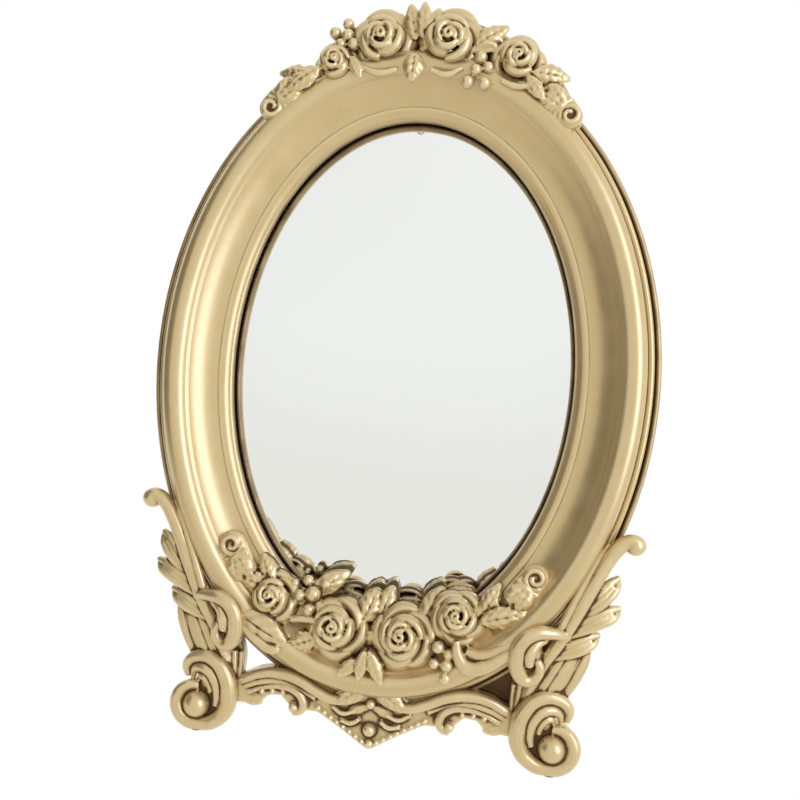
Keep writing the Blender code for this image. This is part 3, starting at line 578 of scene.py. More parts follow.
def grained_finish(name, dark, light, coarse, fine, roughness, spread, bump_depth, metallic=0.0,
                   stretch=(1.0, 1.0, 1.0)):
    """Finish made from the surface grain group."""
    found = bpy.data.materials.get(name)
    if found:
        return found
    finish, nodes, shader = new_finish(name)
    group = nodes.add("ShaderNodeGroup", node_tree=grain_group())
    group.inputs["Dark"].default_value = (*dark, 1.0)
    group.inputs["Light"].default_value = (*light, 1.0)
    for label, value in (("Coarse", coarse), ("Fine", fine), ("Roughness", roughness),
                         ("Roughness Spread", spread)):
        group.inputs[label].default_value = value
    mapping = nodes.add("ShaderNodeMapping")
    mapping.inputs["Scale"].default_value = stretch
    nodes.wire(nodes.add("ShaderNodeTexCoord").outputs["Object"], mapping.inputs["Vector"])
    nodes.wire(mapping.outputs["Vector"], group.inputs["Place"])
    nodes.wire(group.outputs["Color"], shader.inputs["Base Color"])
    nodes.wire(group.outputs["Roughness"], shader.inputs["Roughness"])
    add_bump(nodes, shader, group.outputs["Height"], 0.5, bump_depth)
    shader.inputs["Metallic"].default_value = metallic
    return finish


def brown_finish():
    """Painted board of the back and the leg, with an upright grain."""
    colours = bpy.context.scene.mirror_colours
    light = [min(1.0, c * 1.7) for c in colours.board]
    return grained_finish("brown_board", colours.board, light, 70.0, 900.0, 0.62, 0.16, 0.0002,
                          stretch=(1.0, 1.0, 0.35))


def steel_finish():
    """Zinc-plated steel of the hinge and the screws."""
    return grained_finish("zinc_steel", (0.36, 0.36, 0.34), (0.62, 0.61, 0.56), 120.0, 2200.0, 0.36,
                          0.16, 0.00005, metallic=1.0)


def rubber_finish():
    """Matt rubber of the pads."""
    return grained_finish("dark_rubber", (0.012, 0.012, 0.012), (0.035, 0.034, 0.033), 300.0,
                          2500.0, 0.72, 0.2, 0.0001)


def board_finish():
    """Soft grey board behind the glass."""
    return grained_finish("grey_board", (0.26, 0.23, 0.19), (0.42, 0.38, 0.32), 200.0, 1500.0, 0.9,
                          0.08, 0.0002)


def silver_finish():
    """Clean silvered glass with a breath of haze."""
    found = bpy.data.materials.get("silvered_glass")
    if found:
        return found
    finish, nodes, shader = new_finish("silvered_glass")
    place = nodes.add("ShaderNodeTexCoord").outputs["Object"]
    haze = nodes.noise(place, 18.0, 5.0)
    tint = nodes.mix(nodes.remap(haze, 0.4, 0.75, 0.0, 0.6), (0.93, 0.94, 0.925, 1.0),
                     (0.88, 0.89, 0.875, 1.0))
    nodes.wire(tint, shader.inputs["Base Color"])
    nodes.wire(nodes.remap(haze, 0.45, 0.8, 0.004, 0.03), shader.inputs["Roughness"])
    shader.inputs["Metallic"].default_value = 1.0
    return finish


# ---------------------------------------------------------------- frame, glass and back

def oval_axes(inset):
    """Half axes of the oval at an inset from the frame's outer edge."""
    return HALF_WIDTH - inset, HALF_HEIGHT - inset * END_WIDENING


def arc(inset, height, radius, start, end, steps):
    """Points of a round stretch of the moulding, angles in degrees from the inward direction."""
    angles = [math.radians(start + (end - start) * step / steps) for step in range(steps + 1)]
    return [(inset + radius * math.cos(a), height + radius * math.sin(a)) for a in angles]


def moulding_outline():
    """Section of the frame: outer beads, ridge, hollow, rounded sight edge, rebate and rim."""
    rebate = MOULDING_WIDTH - GLASS_LAP
    lip, ledge = GLASS_FRONT + 0.3, -RIM_DEPTH + COVER_THICKNESS + 0.3
    return ([(1.5, -RIM_DEPTH), (0.6, -4.2), (0.1, -1.4), (0.02, 2.6)]
            + arc(1.25, 3.9, 1.2, 185, 30, 8)
            + [(2.4, 3.8), (2.9, 3.8), (3.0, 4.9)]
            + arc(4.35, 7.1, 1.35, 200, 35, 8)
            + [(5.6, 7.2), (6.2, 7.3)]
            + arc(11.0, 11.35, 5.0, 204, 40, 26)
            + [(15.25, 14.05), (15.55, 13.75), (15.85, 13.55)]
            + arc(29.7, 24.6, 17.6, 219.5, 257.5, 20)
            + [(26.08, 7.4), (26.28, 7.74)]
            + arc(26.5, 3.45, 4.3, 90, 0, 12)
            + [(MOULDING_WIDTH, 2.7), (MOULDING_WIDTH - 0.3, lip), (rebate, lip), (rebate, ledge),
               (COVER_INSET - 0.3, ledge), (COVER_INSET - 0.3, -RIM_DEPTH + 0.4),
               (COVER_INSET - 0.7, -RIM_DEPTH)])


def mark_frame(ring):
    """Dark colour in the grooves of the moulding, painted shade around the glass and on the rim's
    outer and back walls, and painted highlights on the ridge and the sight edge, before it is drawn
    out.
    """
    places = points_of(ring) / MM
    inset = HALF_WIDTH - np.hypot(places[:, 0], places[:, 1])
    height = places[:, 2]
    recess = np.zeros(len(places))
    # Dark lines in the grooves: brown patina, and painted shade at the crease and the step
    for groove_inset, groove_height, reach, depth in FRAME_GROOVES:
        away = (inset - groove_inset) ** 2 + (height - groove_height) ** 2
        recess = np.maximum(recess, depth * np.exp(-away / reach ** 2))
    # Painted shade on the sight edge's rounding as it turns down to the glass
    glass_edge_shade = np.clip((inset - 28.6) / 1.6, 0.0, 1.0)
    glass_edge_shade *= np.clip((5.6 - height) / 2.6, 0.0, 0.66)
    # Painted shade on the back part of the rim and on its outer wall
    low_wall_shade = np.clip((1.8 - height) / 1.8, 0.0, 0.75)
    outer_wall_shade = np.clip((0.5 - inset) / 0.5, 0.0, 0.85)
    recess = np.maximum.reduce((recess, glass_edge_shade, low_wall_shade, outer_wall_shade))
    # Full painted shade in the rebate and under the lip that holds the glass
    recess[(inset > 20.0) & (height < 2.5)] = 1.0
    # Painted highlights: a bright line on the sight edge's step and another along the top of the
    # ridge
    edge = 0.45 * np.exp(-((inset - 26.6) ** 2 + (height - 7.75) ** 2) / 0.35)
    edge += 0.35 * np.exp(-((inset - 13.2) ** 2 + (height - 16.0) ** 2) / 2.0)
    store_wear_and_painted_light(ring, recess, np.clip(edge, 0.0, 1.0))


def oval_ring(name, outline, steps):
    """Ring whose outline is spun once by the spin tool and then drawn out to the oval."""
    bpy.ops.mesh.primitive_circle_add(vertices=len(outline), radius=0.01)
    ring = bpy.context.object
    ring.name = name
    set_points(ring, np.array([((HALF_WIDTH - inset) * MM, 0.0, height * MM)
                               for inset, height in outline]))
    select_all("SELECT")
    bpy.ops.mesh.spin(steps=steps, angle=math.tau, center=(0.0, 0.0, 0.0), axis=(0.0, 0.0, 1.0))
    bpy.ops.object.mode_set(mode="OBJECT")
    weld(ring, 2e-6)
    return ring


def draw_to_oval(piece):
    """Draw a round piece out to the oval, each inset to its own half axes."""
    points = points_of(piece)
    radius = np.maximum(np.hypot(points[:, 0], points[:, 1]) / MM, 1e-6)
    half_width, half_height = oval_axes(HALF_WIDTH - radius)
    points[:, 1] *= np.where(radius > 20.0, half_height / half_width, oval_axes(75.0)[1] / 20.0)
    set_points(piece, points)


def oval_board(name, inset, back, front, edge):
    """Oval board with softened edges."""
    half_width, half_height = oval_axes(inset)
    bpy.ops.mesh.primitive_cylinder_add(vertices=192, radius=1.0, depth=(front - back) * MM,
                                        location=(0.0, 0.0, (back + front) / 2 * MM))
    return rounded(frozen(name, (half_width * MM, half_height * MM, 1.0)), edge, angle=40)


def make_frame_moulding():
    """Oval moulding, marked with its dark grooves, painted shade and painted highlights."""
    sizes = bpy.context.scene.mirror_sizes
    frame_ring = oval_ring("frame_moulding", moulding_outline(), sizes.moulding_steps)
    mark_frame(frame_ring)
    draw_to_oval(frame_ring)
    return settle(frame_ring, room_matrix(), ROOT, "gold_finish", gold_finish(), "front_frame",
                  smooth_angle=40)


def make_glass():
    """The silvered glass, with its reflecting face a little behind the real glass's front."""
    rebate = MOULDING_WIDTH - GLASS_LAP + 0.3
    glass = oval_board("silvered_mirror", rebate, GLASS_FRONT - GLASS_THICKNESS, SILVER_HEIGHT, 0.2)
    return settle(glass, room_matrix(), ROOT, "silvered_glass", silver_finish(), "mirror_glass",
                  smooth_angle=30)


def make_back():
    """Oval rear cover, and the soft board's finish."""
    cover = oval_board("back_cover", COVER_INSET, -RIM_DEPTH, -RIM_DEPTH + COVER_THICKNESS, 0.5)
    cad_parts["backing_pad"].data.materials.clear()
    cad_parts["backing_pad"].data.materials.append(board_finish())
    return settle(cover, room_matrix(), ROOT, "brown_board", brown_finish(), "rear_cover",
                  smooth_angle=30)


# ---------------------------------------------------------------- carved shapes

def petal(turn, span, foot, rim, low, top, roll, drop, tuck):
    """One petal of a unit rose: it rises to its rim, rolls over it and tucks under the next."""
    def shape(across, along):
        angle = turn + across * span / 2
        rise = np.clip(along / 0.42, 0.0, 1.0)
        over = np.clip((along - 0.42) / 0.58, 0.0, 1.0) * math.pi / 2
        crescent = 1.0 - np.abs(across) ** 2.4
        reach = foot + (rim * (1.0 + tuck * across) - foot) * rise ** 1.6
        reach = reach + roll * (0.25 + 0.75 * crescent) * np.sin(over)
        height = low + (top - low) * np.sin(rise * math.pi / 2) * (1.0 - 0.16 * np.abs(across) ** 3)
        height = height - drop * (1.0 - np.cos(over))
        return reach * np.cos(angle), reach * np.sin(angle), height

    return shaped_sheet("petal", 17, 11, shape, 0.075)


def unit_rose(name, handed, rings):
    """Rose of radius 1 and height 1: a coiled bud inside rings of overlapping petals."""
    turns, steps = 1.25, 26
    coil = []
    for step in range(steps + 1):
        share = step / steps
        angle = handed * share * turns * math.tau
        radius = 0.03 + 0.15 * share
        coil.append((radius * math.cos(angle) / MM, radius * math.sin(angle) / MM,
                     (0.97 - 0.07 * share) / MM, (0.055 + 0.018 * share) / MM))
    bud = swept("bud", [coil], smoothness=2)
    heart = ball(0.0, 0.0, 0.30 / MM, 0.24 / MM, 2.45)
    bed = ball(0.0, 0.0, 0.0, 0.90 / MM, 0.42)
    petals = [bud, heart, bed]
    for count, start, span, foot, rim, low, top, roll, drop, tuck in rings:
        for number in range(count):
            turn = handed * (start + number * math.tau / count + 0.12 * math.sin(number * 2.4))
            grown = rim * (1.0 + 0.04 * math.sin(number * 1.9 + start))
            petals.append(petal(turn, span, foot, grown, low, top, roll, drop, handed * tuck))
    return joined(name, petals)


def unit_leaf(name, teeth, depth, crease=0.12, ribs=0.035):
    """Leaf of length 1 along y and width 1 along x, with a crease, ribs and toothed edges."""
    def shape(across, along):
        width = np.sin(math.pi * np.clip(along, 0.0, 1.0) ** 0.78) ** 0.85
        if teeth:
            width = width * (1.0 - depth * ((along * teeth) % 1.0))
        crown = (1.0 - np.abs(across) ** 1.8) * np.sin(math.pi * np.clip(along * 0.9 + 0.08, 0, 1))
        height = 0.22 * crown - crease * np.exp(-(across / 0.16) ** 2)
        height = height + ribs * np.cos(math.tau * (teeth or 4) * (along - 0.22 * np.abs(across)))
        x = across * width * 0.5
        y = along + 0.03 * np.abs(across) * np.sin(math.pi * along)
        return x, y, height + 0.04 * along

    return shaped_sheet(name, 13, 37 if teeth else 21, shape, 0.20)


ROSE_RINGS = (
    # count, start, span, foot, rim, low, top, roll, drop, tuck
    (3, 0.3, 2.7, 0.22, 0.30, 0.30, 0.95, 0.10, 0.10, 0.22),
    (3, 1.3, 2.6, 0.36, 0.48, 0.20, 0.84, 0.15, 0.15, 0.20),
    (5, 0.6, 1.75, 0.56, 0.73, 0.02, 0.50, 0.27, 0.27, 0.15),
)


def rose_at(master, u, v, low, top, radius, turn, tip_u=0.0, tip_v=0.0):
    """Copy of the unit rose at a place, turned and tipped."""
    matrix = (Matrix.Translation(Vector((u, v, low)) * MM)
              @ Matrix.Rotation(tip_v, 4, "X") @ Matrix.Rotation(tip_u, 4, "Y")
              @ Matrix.Diagonal((radius * MM, radius * MM, (top - low) * MM, 1.0))
              @ Matrix.Rotation(turn, 4, "Z"))
    return copied(master, matrix)


def leaf_at(master, base, tip, width, arch=1.0):
    """Copy of a unit leaf from its base to its tip, both (u, v, w)."""
    base, tip = Vector(base) * MM, Vector(tip) * MM
    along = tip - base
    across = along.cross(Vector((0.0, 0.0, 1.0))).normalized()
    out = across.cross(along).normalized()
    matrix = Matrix.Identity(4)
    for column, axis in enumerate((across * width * MM, along, out * width * MM * arch, base)):
        for row in range(3):
            matrix[row][column] = axis[row]
    return copied(master, matrix)


CREST_ROSES = (
    # u, v, radius, top, turn
    (-31.5, 111.0, 9.0, 21.0, 0.4), (-14.5, 120.0, 12.4, 22.0, 2.1),
    (9.5, 120.6, 12.9, 22.0, 0.9), (34.5, 114.5, 10.2, 21.5, 3.0))
CREST_LEAVES = (
    # base, tip, width, toothed
    ((-3.0, 121.5, 15.0), (-5.8, 134.0, 13.5), 6.0, False),
    ((0.0, 121.5, 16.0), (-0.5, 134.5, 14.5), 5.5, False),
    ((2.0, 123.0, 15.0), (4.6, 133.0, 13.0), 5.5, False),
    ((-5.5, 123.0, 14.0), (-10.0, 131.0, 12.0), 5.0, False),
    ((19.0, 119.5, 14.0), (29.5, 127.0, 12.5), 8.0, True),
    ((40.5, 110.5, 15.0), (52.6, 110.0, 11.0), 8.0, True),
    ((38.5, 108.5, 16.5), (44.5, 100.5, 16.5), 5.5, True),
    ((-40.5, 106.5, 14.5), (-52.6, 108.2, 11.0), 7.5, True),
    ((-37.5, 108.5, 17.0), (-48.5, 100.5, 16.0), 7.5, True),
    ((-25.5, 113.0, 17.0), (-21.5, 105.8, 17.6), 5.0, True),
    ((17.0, 118.0, 15.0), (28.0, 119.5, 13.5), 3.0, False))
CREST_BERRIES = (
    (-33.0, 123.0, 13.5, 2.3), (-28.5, 126.6, 13.0, 2.2), (-28.0, 121.8, 15.0, 2.4),
    (-25.4, 118.2, 16.0, 2.2), (-30.3, 118.2, 15.5, 2.1), (21.3, 114.6, 17.2, 2.3),
    (24.2, 111.0, 17.6, 2.0), (19.8, 109.8, 18.0, 2.2), (17.2, 105.4, 18.0, 2.4),
    (23.2, 105.2, 17.8, 2.4))
CREST_OUTLINE = (
    (-58.0, 91.5), (-56.5, 99.0), (-52.5, 106.5), (-44.0, 110.5), (-38.0, 115.5), (-33.0, 123.0),
    (-24.0, 128.0), (-12.0, 131.0), (-2.0, 132.0), (10.0, 131.5), (22.0, 129.0), (32.0, 124.5),
    (41.0, 118.5), (49.0, 112.0), (54.0, 105.0), (58.0, 93.0), (52.0, 93.0), (44.0, 99.0),
    (34.0, 105.0), (20.0, 110.0), (0.0, 112.0), (-20.0, 110.0), (-34.0, 105.0), (-46.0, 98.0),
    (-52.0, 92.5))
CREST_SCROLLS = (
    # stations (u, v, w, half width)
    ((-22.0, 109.8, 17.2, 1.0), (-15.0, 107.6, 17.6, 1.5), (-8.5, 109.2, 17.4, 1.0)),
    ((3.5, 109.6, 17.4, 1.0), (9.5, 107.9, 17.6, 1.3), (15.0, 110.5, 17.4, 1.0)),
    ((29.0, 106.8, 17.2, 1.0), (34.0, 104.9, 17.2, 1.3), (39.5, 105.2, 17.0, 0.9)))

GARLAND_ROSES = (
    (-39.0, -87.6, 10.0, 20.5, 1.2), (-14.5, -96.6, 12.0, 22.5, 0.2),
    (10.5, -97.0, 12.4, 22.8, 2.6), (29.6, -87.6, 10.6, 20.8, 4.0))
GARLAND_LEAVES = (
    ((-40.5, -81.0, 12.0), (-45.0, -71.4, 10.0), 7.0, True),
    ((-41.5, -82.5, 13.0), (-52.5, -79.0, 12.5), 7.5, True),
    ((-25.0, -83.0, 10.0), (-13.0, -75.5, 6.0), 7.0, False),
    ((-22.0, -99.0, 14.0), (-32.5, -103.0, 13.0), 8.0, True),
    ((-5.0, -91.0, 11.0), (-1.5, -80.5, 6.6), 8.5, False),
    ((0.5, -91.0, 10.0), (4.0, -79.0, 6.0), 7.0, False),
    ((-3.0, -101.0, 18.0), (-4.6, -111.0, 17.2), 5.0, True),
    ((-1.0, -101.0, 18.0), (3.8, -111.6, 17.2), 5.4, True),
    ((-6.0, -104.5, 17.5), (-12.0, -110.6, 17.0), 4.6, False),
    ((16.5, -89.5, 11.0), (22.5, -77.5, 6.2), 7.5, False),
    ((38.0, -84.5, 12.0), (43.2, -73.2, 10.0), 7.0, True),
    ((38.0, -86.0, 13.5), (53.0, -81.6, 13.0), 8.0, True),
    ((-50.0, -93.0, 15.0), (-32.5, -101.5, 16.0), 9.5, False))
GARLAND_BERRIES = (
    (-27.2, -79.2, 9.5, 2.1), (-29.6, -84.4, 12.0, 2.2), (-24.6, -83.4, 12.0, 2.9),
    (-20.4, -79.8, 9.5, 2.2), (-25.4, -89.0, 13.5, 2.3), (-32.0, -80.5, 10.5, 1.7),
    (23.3, -96.4, 16.5, 2.3), (27.2, -98.8, 15.8, 2.0), (26.8, -102.6, 16.5, 2.3),
    (22.3, -102.4, 16.5, 1.9), (26.6, -107.0, 17.0, 2.2))
GARLAND_STEMS = (
    ((-50.0, -77.0, 10.5, 2.6), (-39.0, -86.0, 9.5, 4.0), (-27.0, -86.0, 9.0, 3.6),
     (-14.5, -95.0, 9.2, 4.5), (0.0, -97.0, 9.4, 4.5), (12.0, -96.0, 9.2, 4.5),
     (24.0, -90.0, 9.5, 4.0), (32.0, -86.0, 9.5, 4.0), (44.0, -80.0, 10.5, 3.0)),
    ((-32.0, -93.2, 13.0, 1.3), (-27.0, -92.6, 13.6, 1.4), (-22.0, -92.8, 13.6, 1.3)),
    # folded ribbon beside the right-hand rose
    ((29.6, -93.0, 17.0, 1.3), (30.6, -98.4, 16.6, 2.2), (34.0, -102.4, 16.4, 2.9),
     (40.0, -101.6, 16.2, 2.8), (46.5, -97.6, 16.0, 2.4), (52.0, -94.0, 15.0, 2.0)),
    ((33.4, -97.6, 14.0, 2.2), (39.5, -98.2, 14.8, 2.6), (46.0, -95.0, 15.0, 2.2),
     (52.0, -91.5, 14.5, 1.8)),
    # turned-up lip under the left-hand rose
    ((-49.0, -97.0, 16.0, 1.4), (-43.0, -101.0, 17.0, 2.0), (-37.0, -104.0, 17.2, 1.9),
     (-34.2, -103.0, 17.4, 1.5)))
# rolled ends of the garlands: base, tip, width and height of the back
GARLAND_TONGUES = (
    ((-50.4, -79.6), (-59.0, -62.8), 11.0, 9.0), ((48.4, -78.8), (59.0, -64.4), 11.0, 9.0))
CREST_TONGUES = (
    ((-45.5, 103.6), (-58.2, 90.6), 10.4, 10.6), ((45.0, 104.6), (58.0, 92.2), 10.4, 10.6))


def make_masters():
    """Unit shapes that the castings repeat."""
    return {
        "rose": unit_rose("unit_rose", 1.0, ROSE_RINGS),
        "rose_turned": unit_rose("unit_rose_turned", -1.0, ROSE_RINGS),
        "toothed": unit_leaf("unit_leaf_toothed", 5, 0.24),
        "plain": unit_leaf("unit_leaf_plain", 0, 0.0, crease=0.13, ribs=0.02),
        "blade": unit_leaf("unit_blade", 0, 0.0, crease=0.10, ribs=0.0),
    }


def filled_below(shape, height):
    """A shape with lowered copies under it, which fill the space down to a height."""
    stack = [shape]
    for drop in range(1, 7):
        lower = copied(shape, Matrix.Translation((0.0, 0.0, -1.1 * drop * MM)))
        points = points_of(lower)
        points[:, 2] = np.maximum(points[:, 2], height * MM + (points[:, 2] - height * MM) * 0.1)
        set_points(lower, points)
        stack.append(lower)
    return stack


def garland_shapes(masters, roses, rose_base, rose_tip, leaves, berries, foot_height):
    """Roses, leaves and berries of a garland, filled down to foot_height where it overhangs."""
    shapes = []
    for number, (u, v, radius, top, turn) in enumerate(roses):
        master = masters["rose" if number % 2 else "rose_turned"]
        shapes.append(rose_at(master, u, v, rose_base, top, radius, turn, tip_u=0.06 * math.sin(u),
                              tip_v=rose_tip))
        if foot_height is not None:
            depth = rose_base + 2.2 - foot_height
            shapes.append(drum(u, v, foot_height + depth / 2, radius * 0.95, depth, 40))
    for base, tip, width, toothed in leaves:
        leaf = leaf_at(masters["toothed" if toothed else "plain"], base, tip, width)
        shapes += [leaf] if foot_height is None else filled_below(leaf, foot_height)
    for u, v, w, radius in berries:
        shapes += [ball(u, v, w, radius), ball(u, v, w - radius, radius * 0.8)]
        if foot_height is not None:
            shapes.append(ball(u, v, (w + foot_height) / 2, radius * 0.8,
                               (w - foot_height) / (1.6 * radius)))
    return shapes


def tongue(masters, base, tip, width, height):
    """Rolled end of a garland: a rounded tab with a ringed boss and two folded leaves."""
    base, tip = Vector(base), Vector(tip)
    along = (tip - base).normalized()
    across = Vector((-along.y, along.x))
    half, length = width / 2, (tip - base).length
    eye = tip - along * half
    rim = [base + across * half * 0.75, base + along * length * 0.35 + across * half * 0.95]
    rim += [eye + (across * math.cos(a) + along * math.sin(a)) * (half - 0.6)
            for a in (math.pi * step / 6 for step in range(7))]
    rim += [base + along * length * 0.35 - across * half * 0.95, base - across * half * 0.75]
    bed = slab("tongue_bed", [tuple(point) for point in rim], height, height + 5.4, 1.6)
    ring = []
    for step in range(12):
        turn = math.radians(-150 + 44 * step)
        reach = half * (0.74 - 0.045 * step)
        ring.append((*(eye + (across * math.cos(turn) + along * math.sin(turn)) * reach),
                     height + 5.2 + 0.03 * step, 0.5 + 0.5 * math.sin(math.pi * (step + 1) / 13)))
    shapes = [bed, swept("tongue_ring", [ring])]
    fold = eye - along * half * 0.9
    for side in (-1, 1):
        end = base + across * half * 0.42 * side - along * length * 0.02
        shapes.append(leaf_at(masters["plain"], (*(fold + across * 0.8 * side), height + 5.2),
                              (*end, height + 4.6), width * 0.60))
        start = fold + across * half * 0.85 * side + along * 0.6
        bar = [(*start, height + 4.6, 0.9), (*fold, height + 5.6, 1.0)]
        shapes.append(swept("tongue_fold", [bar]))
    return shapes


def make_crest(masters):
    """Crest of roses on a bed that follows the top of the frame."""
    shapes = garland_shapes(masters, CREST_ROSES, 7.0, -0.05, CREST_LEAVES, CREST_BERRIES, None)
    shapes.append(slab("crest_bed", CREST_OUTLINE, 2.0, 10.0, 1.5))
    shapes.append(swept("crest_scrolls", CREST_SCROLLS))
    for base, tip, width, height in CREST_TONGUES:
        shapes += tongue(masters, base, tip, width, height)
    shapes.append(leaf_at(masters["plain"], (-2.2, 114.5, 17.6), (-2.9, 104.6, 18.2), 7.2,
                          arch=1.3))
    crest = fused("crest_casting", shapes)
    mark_wear_and_painted_light(crest, floor_range=(8.0, 13.0))
    return settle(crest, room_matrix(), ROOT, "gold_finish", gold_finish(), "crest_garland")


def make_lower_garland(masters):
    """Garland of roses that overhangs the lower edge of the glass."""
    shapes = garland_shapes(masters, GARLAND_ROSES, 5.1, -0.24, GARLAND_LEAVES, GARLAND_BERRIES,
                            4.7)
    shapes.append(swept("garland_stems", GARLAND_STEMS))
    for base, tip, width, height in GARLAND_TONGUES:
        shapes += tongue(masters, base, tip, width, height)
    garland = fused("lower_garland_casting", shapes)
    # Painted shade on the upright walls of the garland between these heights
    mark_wear_and_painted_light(garland, wall_band=(6.3, 9.6))
    return settle(garland, room_matrix(), ROOT, "gold_finish", gold_finish(), "lower_garland")


# ---------------------------------------------------------------- scroll feet and apron

FOOT_ARMS = (
    ((90.6, -55.4, 9.4, 2.2), (91.2, -54.2, 9.8, 2.6), (89.6, -53.0, 10.0, 2.8),
     (86.8, -53.4, 10.2, 2.8), (83.8, -55.8, 10.5, 2.8),
     (80.8, -60.2, 10.8, 2.8), (77.3, -67.0, 11.2, 2.8), (73.6, -75.0, 11.6, 2.8),
     (69.6, -83.5, 12.0, 2.6), (65.5, -91.5, 12.2, 2.4), (61.0, -99.5, 11.5, 2.1),
     (58.0, -107.5, 10.0, 1.8), (55.0, -116.0, 9.0, 1.5)),
    ((81.0, -54.6, 9.5, 1.2), (77.0, -61.0, 11.0, 1.5), (73.0, -69.5, 12.0, 1.6),
     (69.0, -78.5, 12.8, 1.6), (65.6, -86.5, 13.5, 1.5)),
    # hook that loops over the frame into a knot
    ((69.0, -88.5, 12.0, 1.8), (62.5, -87.0, 16.0, 2.3), (56.6, -87.6, 17.6, 2.8),
     (52.6, -91.2, 17.8, 3.2), (51.4, -96.6, 17.2, 3.3), (52.2, -101.8, 16.0, 3.0),
     (55.2, -104.9, 15.0, 2.5), (58.4, -103.6, 14.6, 2.1), (59.6, -100.0, 14.8, 1.8),
     (58.4, -97.2, 15.4, 1.4)),
    ((61.0, -89.4, 16.0, 1.3), (57.4, -91.4, 17.8, 1.9), (55.6, -95.2, 18.2, 2.3),
     (55.8, -99.0, 17.0, 1.7)))
FOOT_FEATHERS = (
    # root, middle and tip
    ((71.5, -82.0), (79.0, -75.0), (85.6, -67.4)), ((68.6, -88.4), (78.2, -82.6), (86.6, -78.2)),
    ((63.5, -96.6), (71.6, -93.0), (80.0, -88.6)))
FOOT_BLADES = (
    ((71.5, -92.5, 8.0), (57.0, -120.0, 8.5), 8.5), ((65.5, -98.0, 9.0), (54.8, -117.0, 8.5), 6.5),
    ((76.6, -92.0, 6.5), (67.6, -114.0, 7.0), 6.5))
FOOT_REEDS = (
    ((51.2, -108.9, 7.0, 0.9), (51.2, -116.0, 7.2, 1.1), (51.4, -125.0, 7.0, 1.0)),
    ((53.6, -108.5, 8.0, 1.1), (53.2, -115.0, 8.4, 1.3), (52.6, -123.0, 8.0, 1.0)),
    ((56.2, -108.0, 9.0, 1.2), (55.2, -113.0, 9.0, 1.3), (53.8, -119.0, 8.6, 0.9)))
FOOT_CURLS = (
    ((71.4, -120.4, 7.0, 1.2), (71.6, -115.8, 8.0, 2.0), (67.0, -112.0, 9.0, 2.6),
     (60.8, -112.4, 10.0, 3.0), (56.0, -117.2, 10.4, 3.3), (54.0, -124.0, 10.2, 3.4),
     (54.8, -130.6, 9.4, 3.2), (58.8, -135.6, 8.8, 2.9), (64.6, -137.6, 8.6, 2.7),
     (70.4, -136.4, 8.8, 2.8), (73.8, -132.0, 9.0, 2.9), (73.6, -126.8, 9.0, 2.6),
     (70.4, -123.6, 8.8, 2.1), (66.2, -123.2, 8.4, 1.6)),
    ((69.4, -121.0, 7.0, 1.0), (67.6, -116.8, 9.0, 1.7), (63.2, -116.2, 10.6, 2.1),
     (59.6, -119.6, 11.0, 2.1), (58.2, -125.0, 10.4, 1.8), (59.0, -130.0, 9.0, 1.3)),
    ((66.8, -121.4, 7.5, 0.9), (65.0, -119.4, 9.4, 1.4), (62.4, -121.4, 9.8, 1.4),
     (61.4, -125.4, 9.0, 1.0)))
FOOT_OUTLINE = (
    (72.0, -91.5), (71.5, -99.0), (69.0, -107.0), (65.5, -112.5), (60.5, -122.0), (58.0, -129.0),
    (50.6, -127.5), (50.5, -118.0), (50.6, -108.8), (55.0, -100.0), (63.0, -91.0))
FOOT_CENTRE = (66.6, -130.2)

APRON_OUTLINE = (
    (0.0, -113.0), (7.5, -114.4), (14.0, -119.6), (20.0, -117.6), (28.0, -114.0), (36.5, -113.0),
    (44.0, -114.6), (51.4, -118.4), (51.4, -128.0), (42.5, -127.2), (39.0, -123.8),
    (34.5, -123.2), (31.0, -126.5), (27.0, -127.6), (20.0, -127.8), (10.0, -133.3),
    (1.2, -138.8), (0.0, -139.2))
APRON_RAILS = (
    ((7.5, -120.6, 10.8, 1.6), (14.0, -121.4, 11.2, 1.9), (20.5, -119.2, 11.2, 2.0),
     (28.0, -115.8, 10.8, 2.1), (36.0, -114.8, 9.6, 2.1), (43.0, -116.0, 9.0, 2.0),
     (48.4, -118.6, 8.4, 1.8), (52.4, -121.0, 6.8, 1.6)),
    ((21.0, -122.4, 9.6, 1.0), (28.0, -118.8, 9.8, 1.2), (35.5, -117.6, 9.4, 1.3),
     (42.5, -118.8, 9.2, 1.2), (48.4, -121.4, 8.2, 1.1), (52.4, -124.0, 6.8, 1.0)),
    ((47.0, -123.4, 8.6, 0.8), (41.0, -120.8, 9.0, 0.9), (34.0, -119.6, 9.4, 1.3),
     (28.4, -120.8, 9.6, 1.6), (25.6, -124.4, 9.4, 1.7), (26.4, -127.8, 9.0, 1.6),
     (29.4, -128.8, 8.8, 1.5)),
    ((14.5, -124.6, 9.2, 0.7), (10.5, -126.6, 9.6, 1.0), (6.0, -125.4, 9.8, 0.8)),
    ((11.0, -129.4, 9.2, 0.7), (7.0, -129.8, 9.8, 1.0), (3.8, -128.0, 9.8, 0.8)))
APRON_BEADS = ((41.6, -122.4), (37.6, -121.9), (33.6, -122.0))
DROP_BEADS = 8
APRON_POCKET = ((38.0, -104.0), (46.0, -99.5), (51.2, -107.0), (51.2, -119.0), (38.0, -115.5))


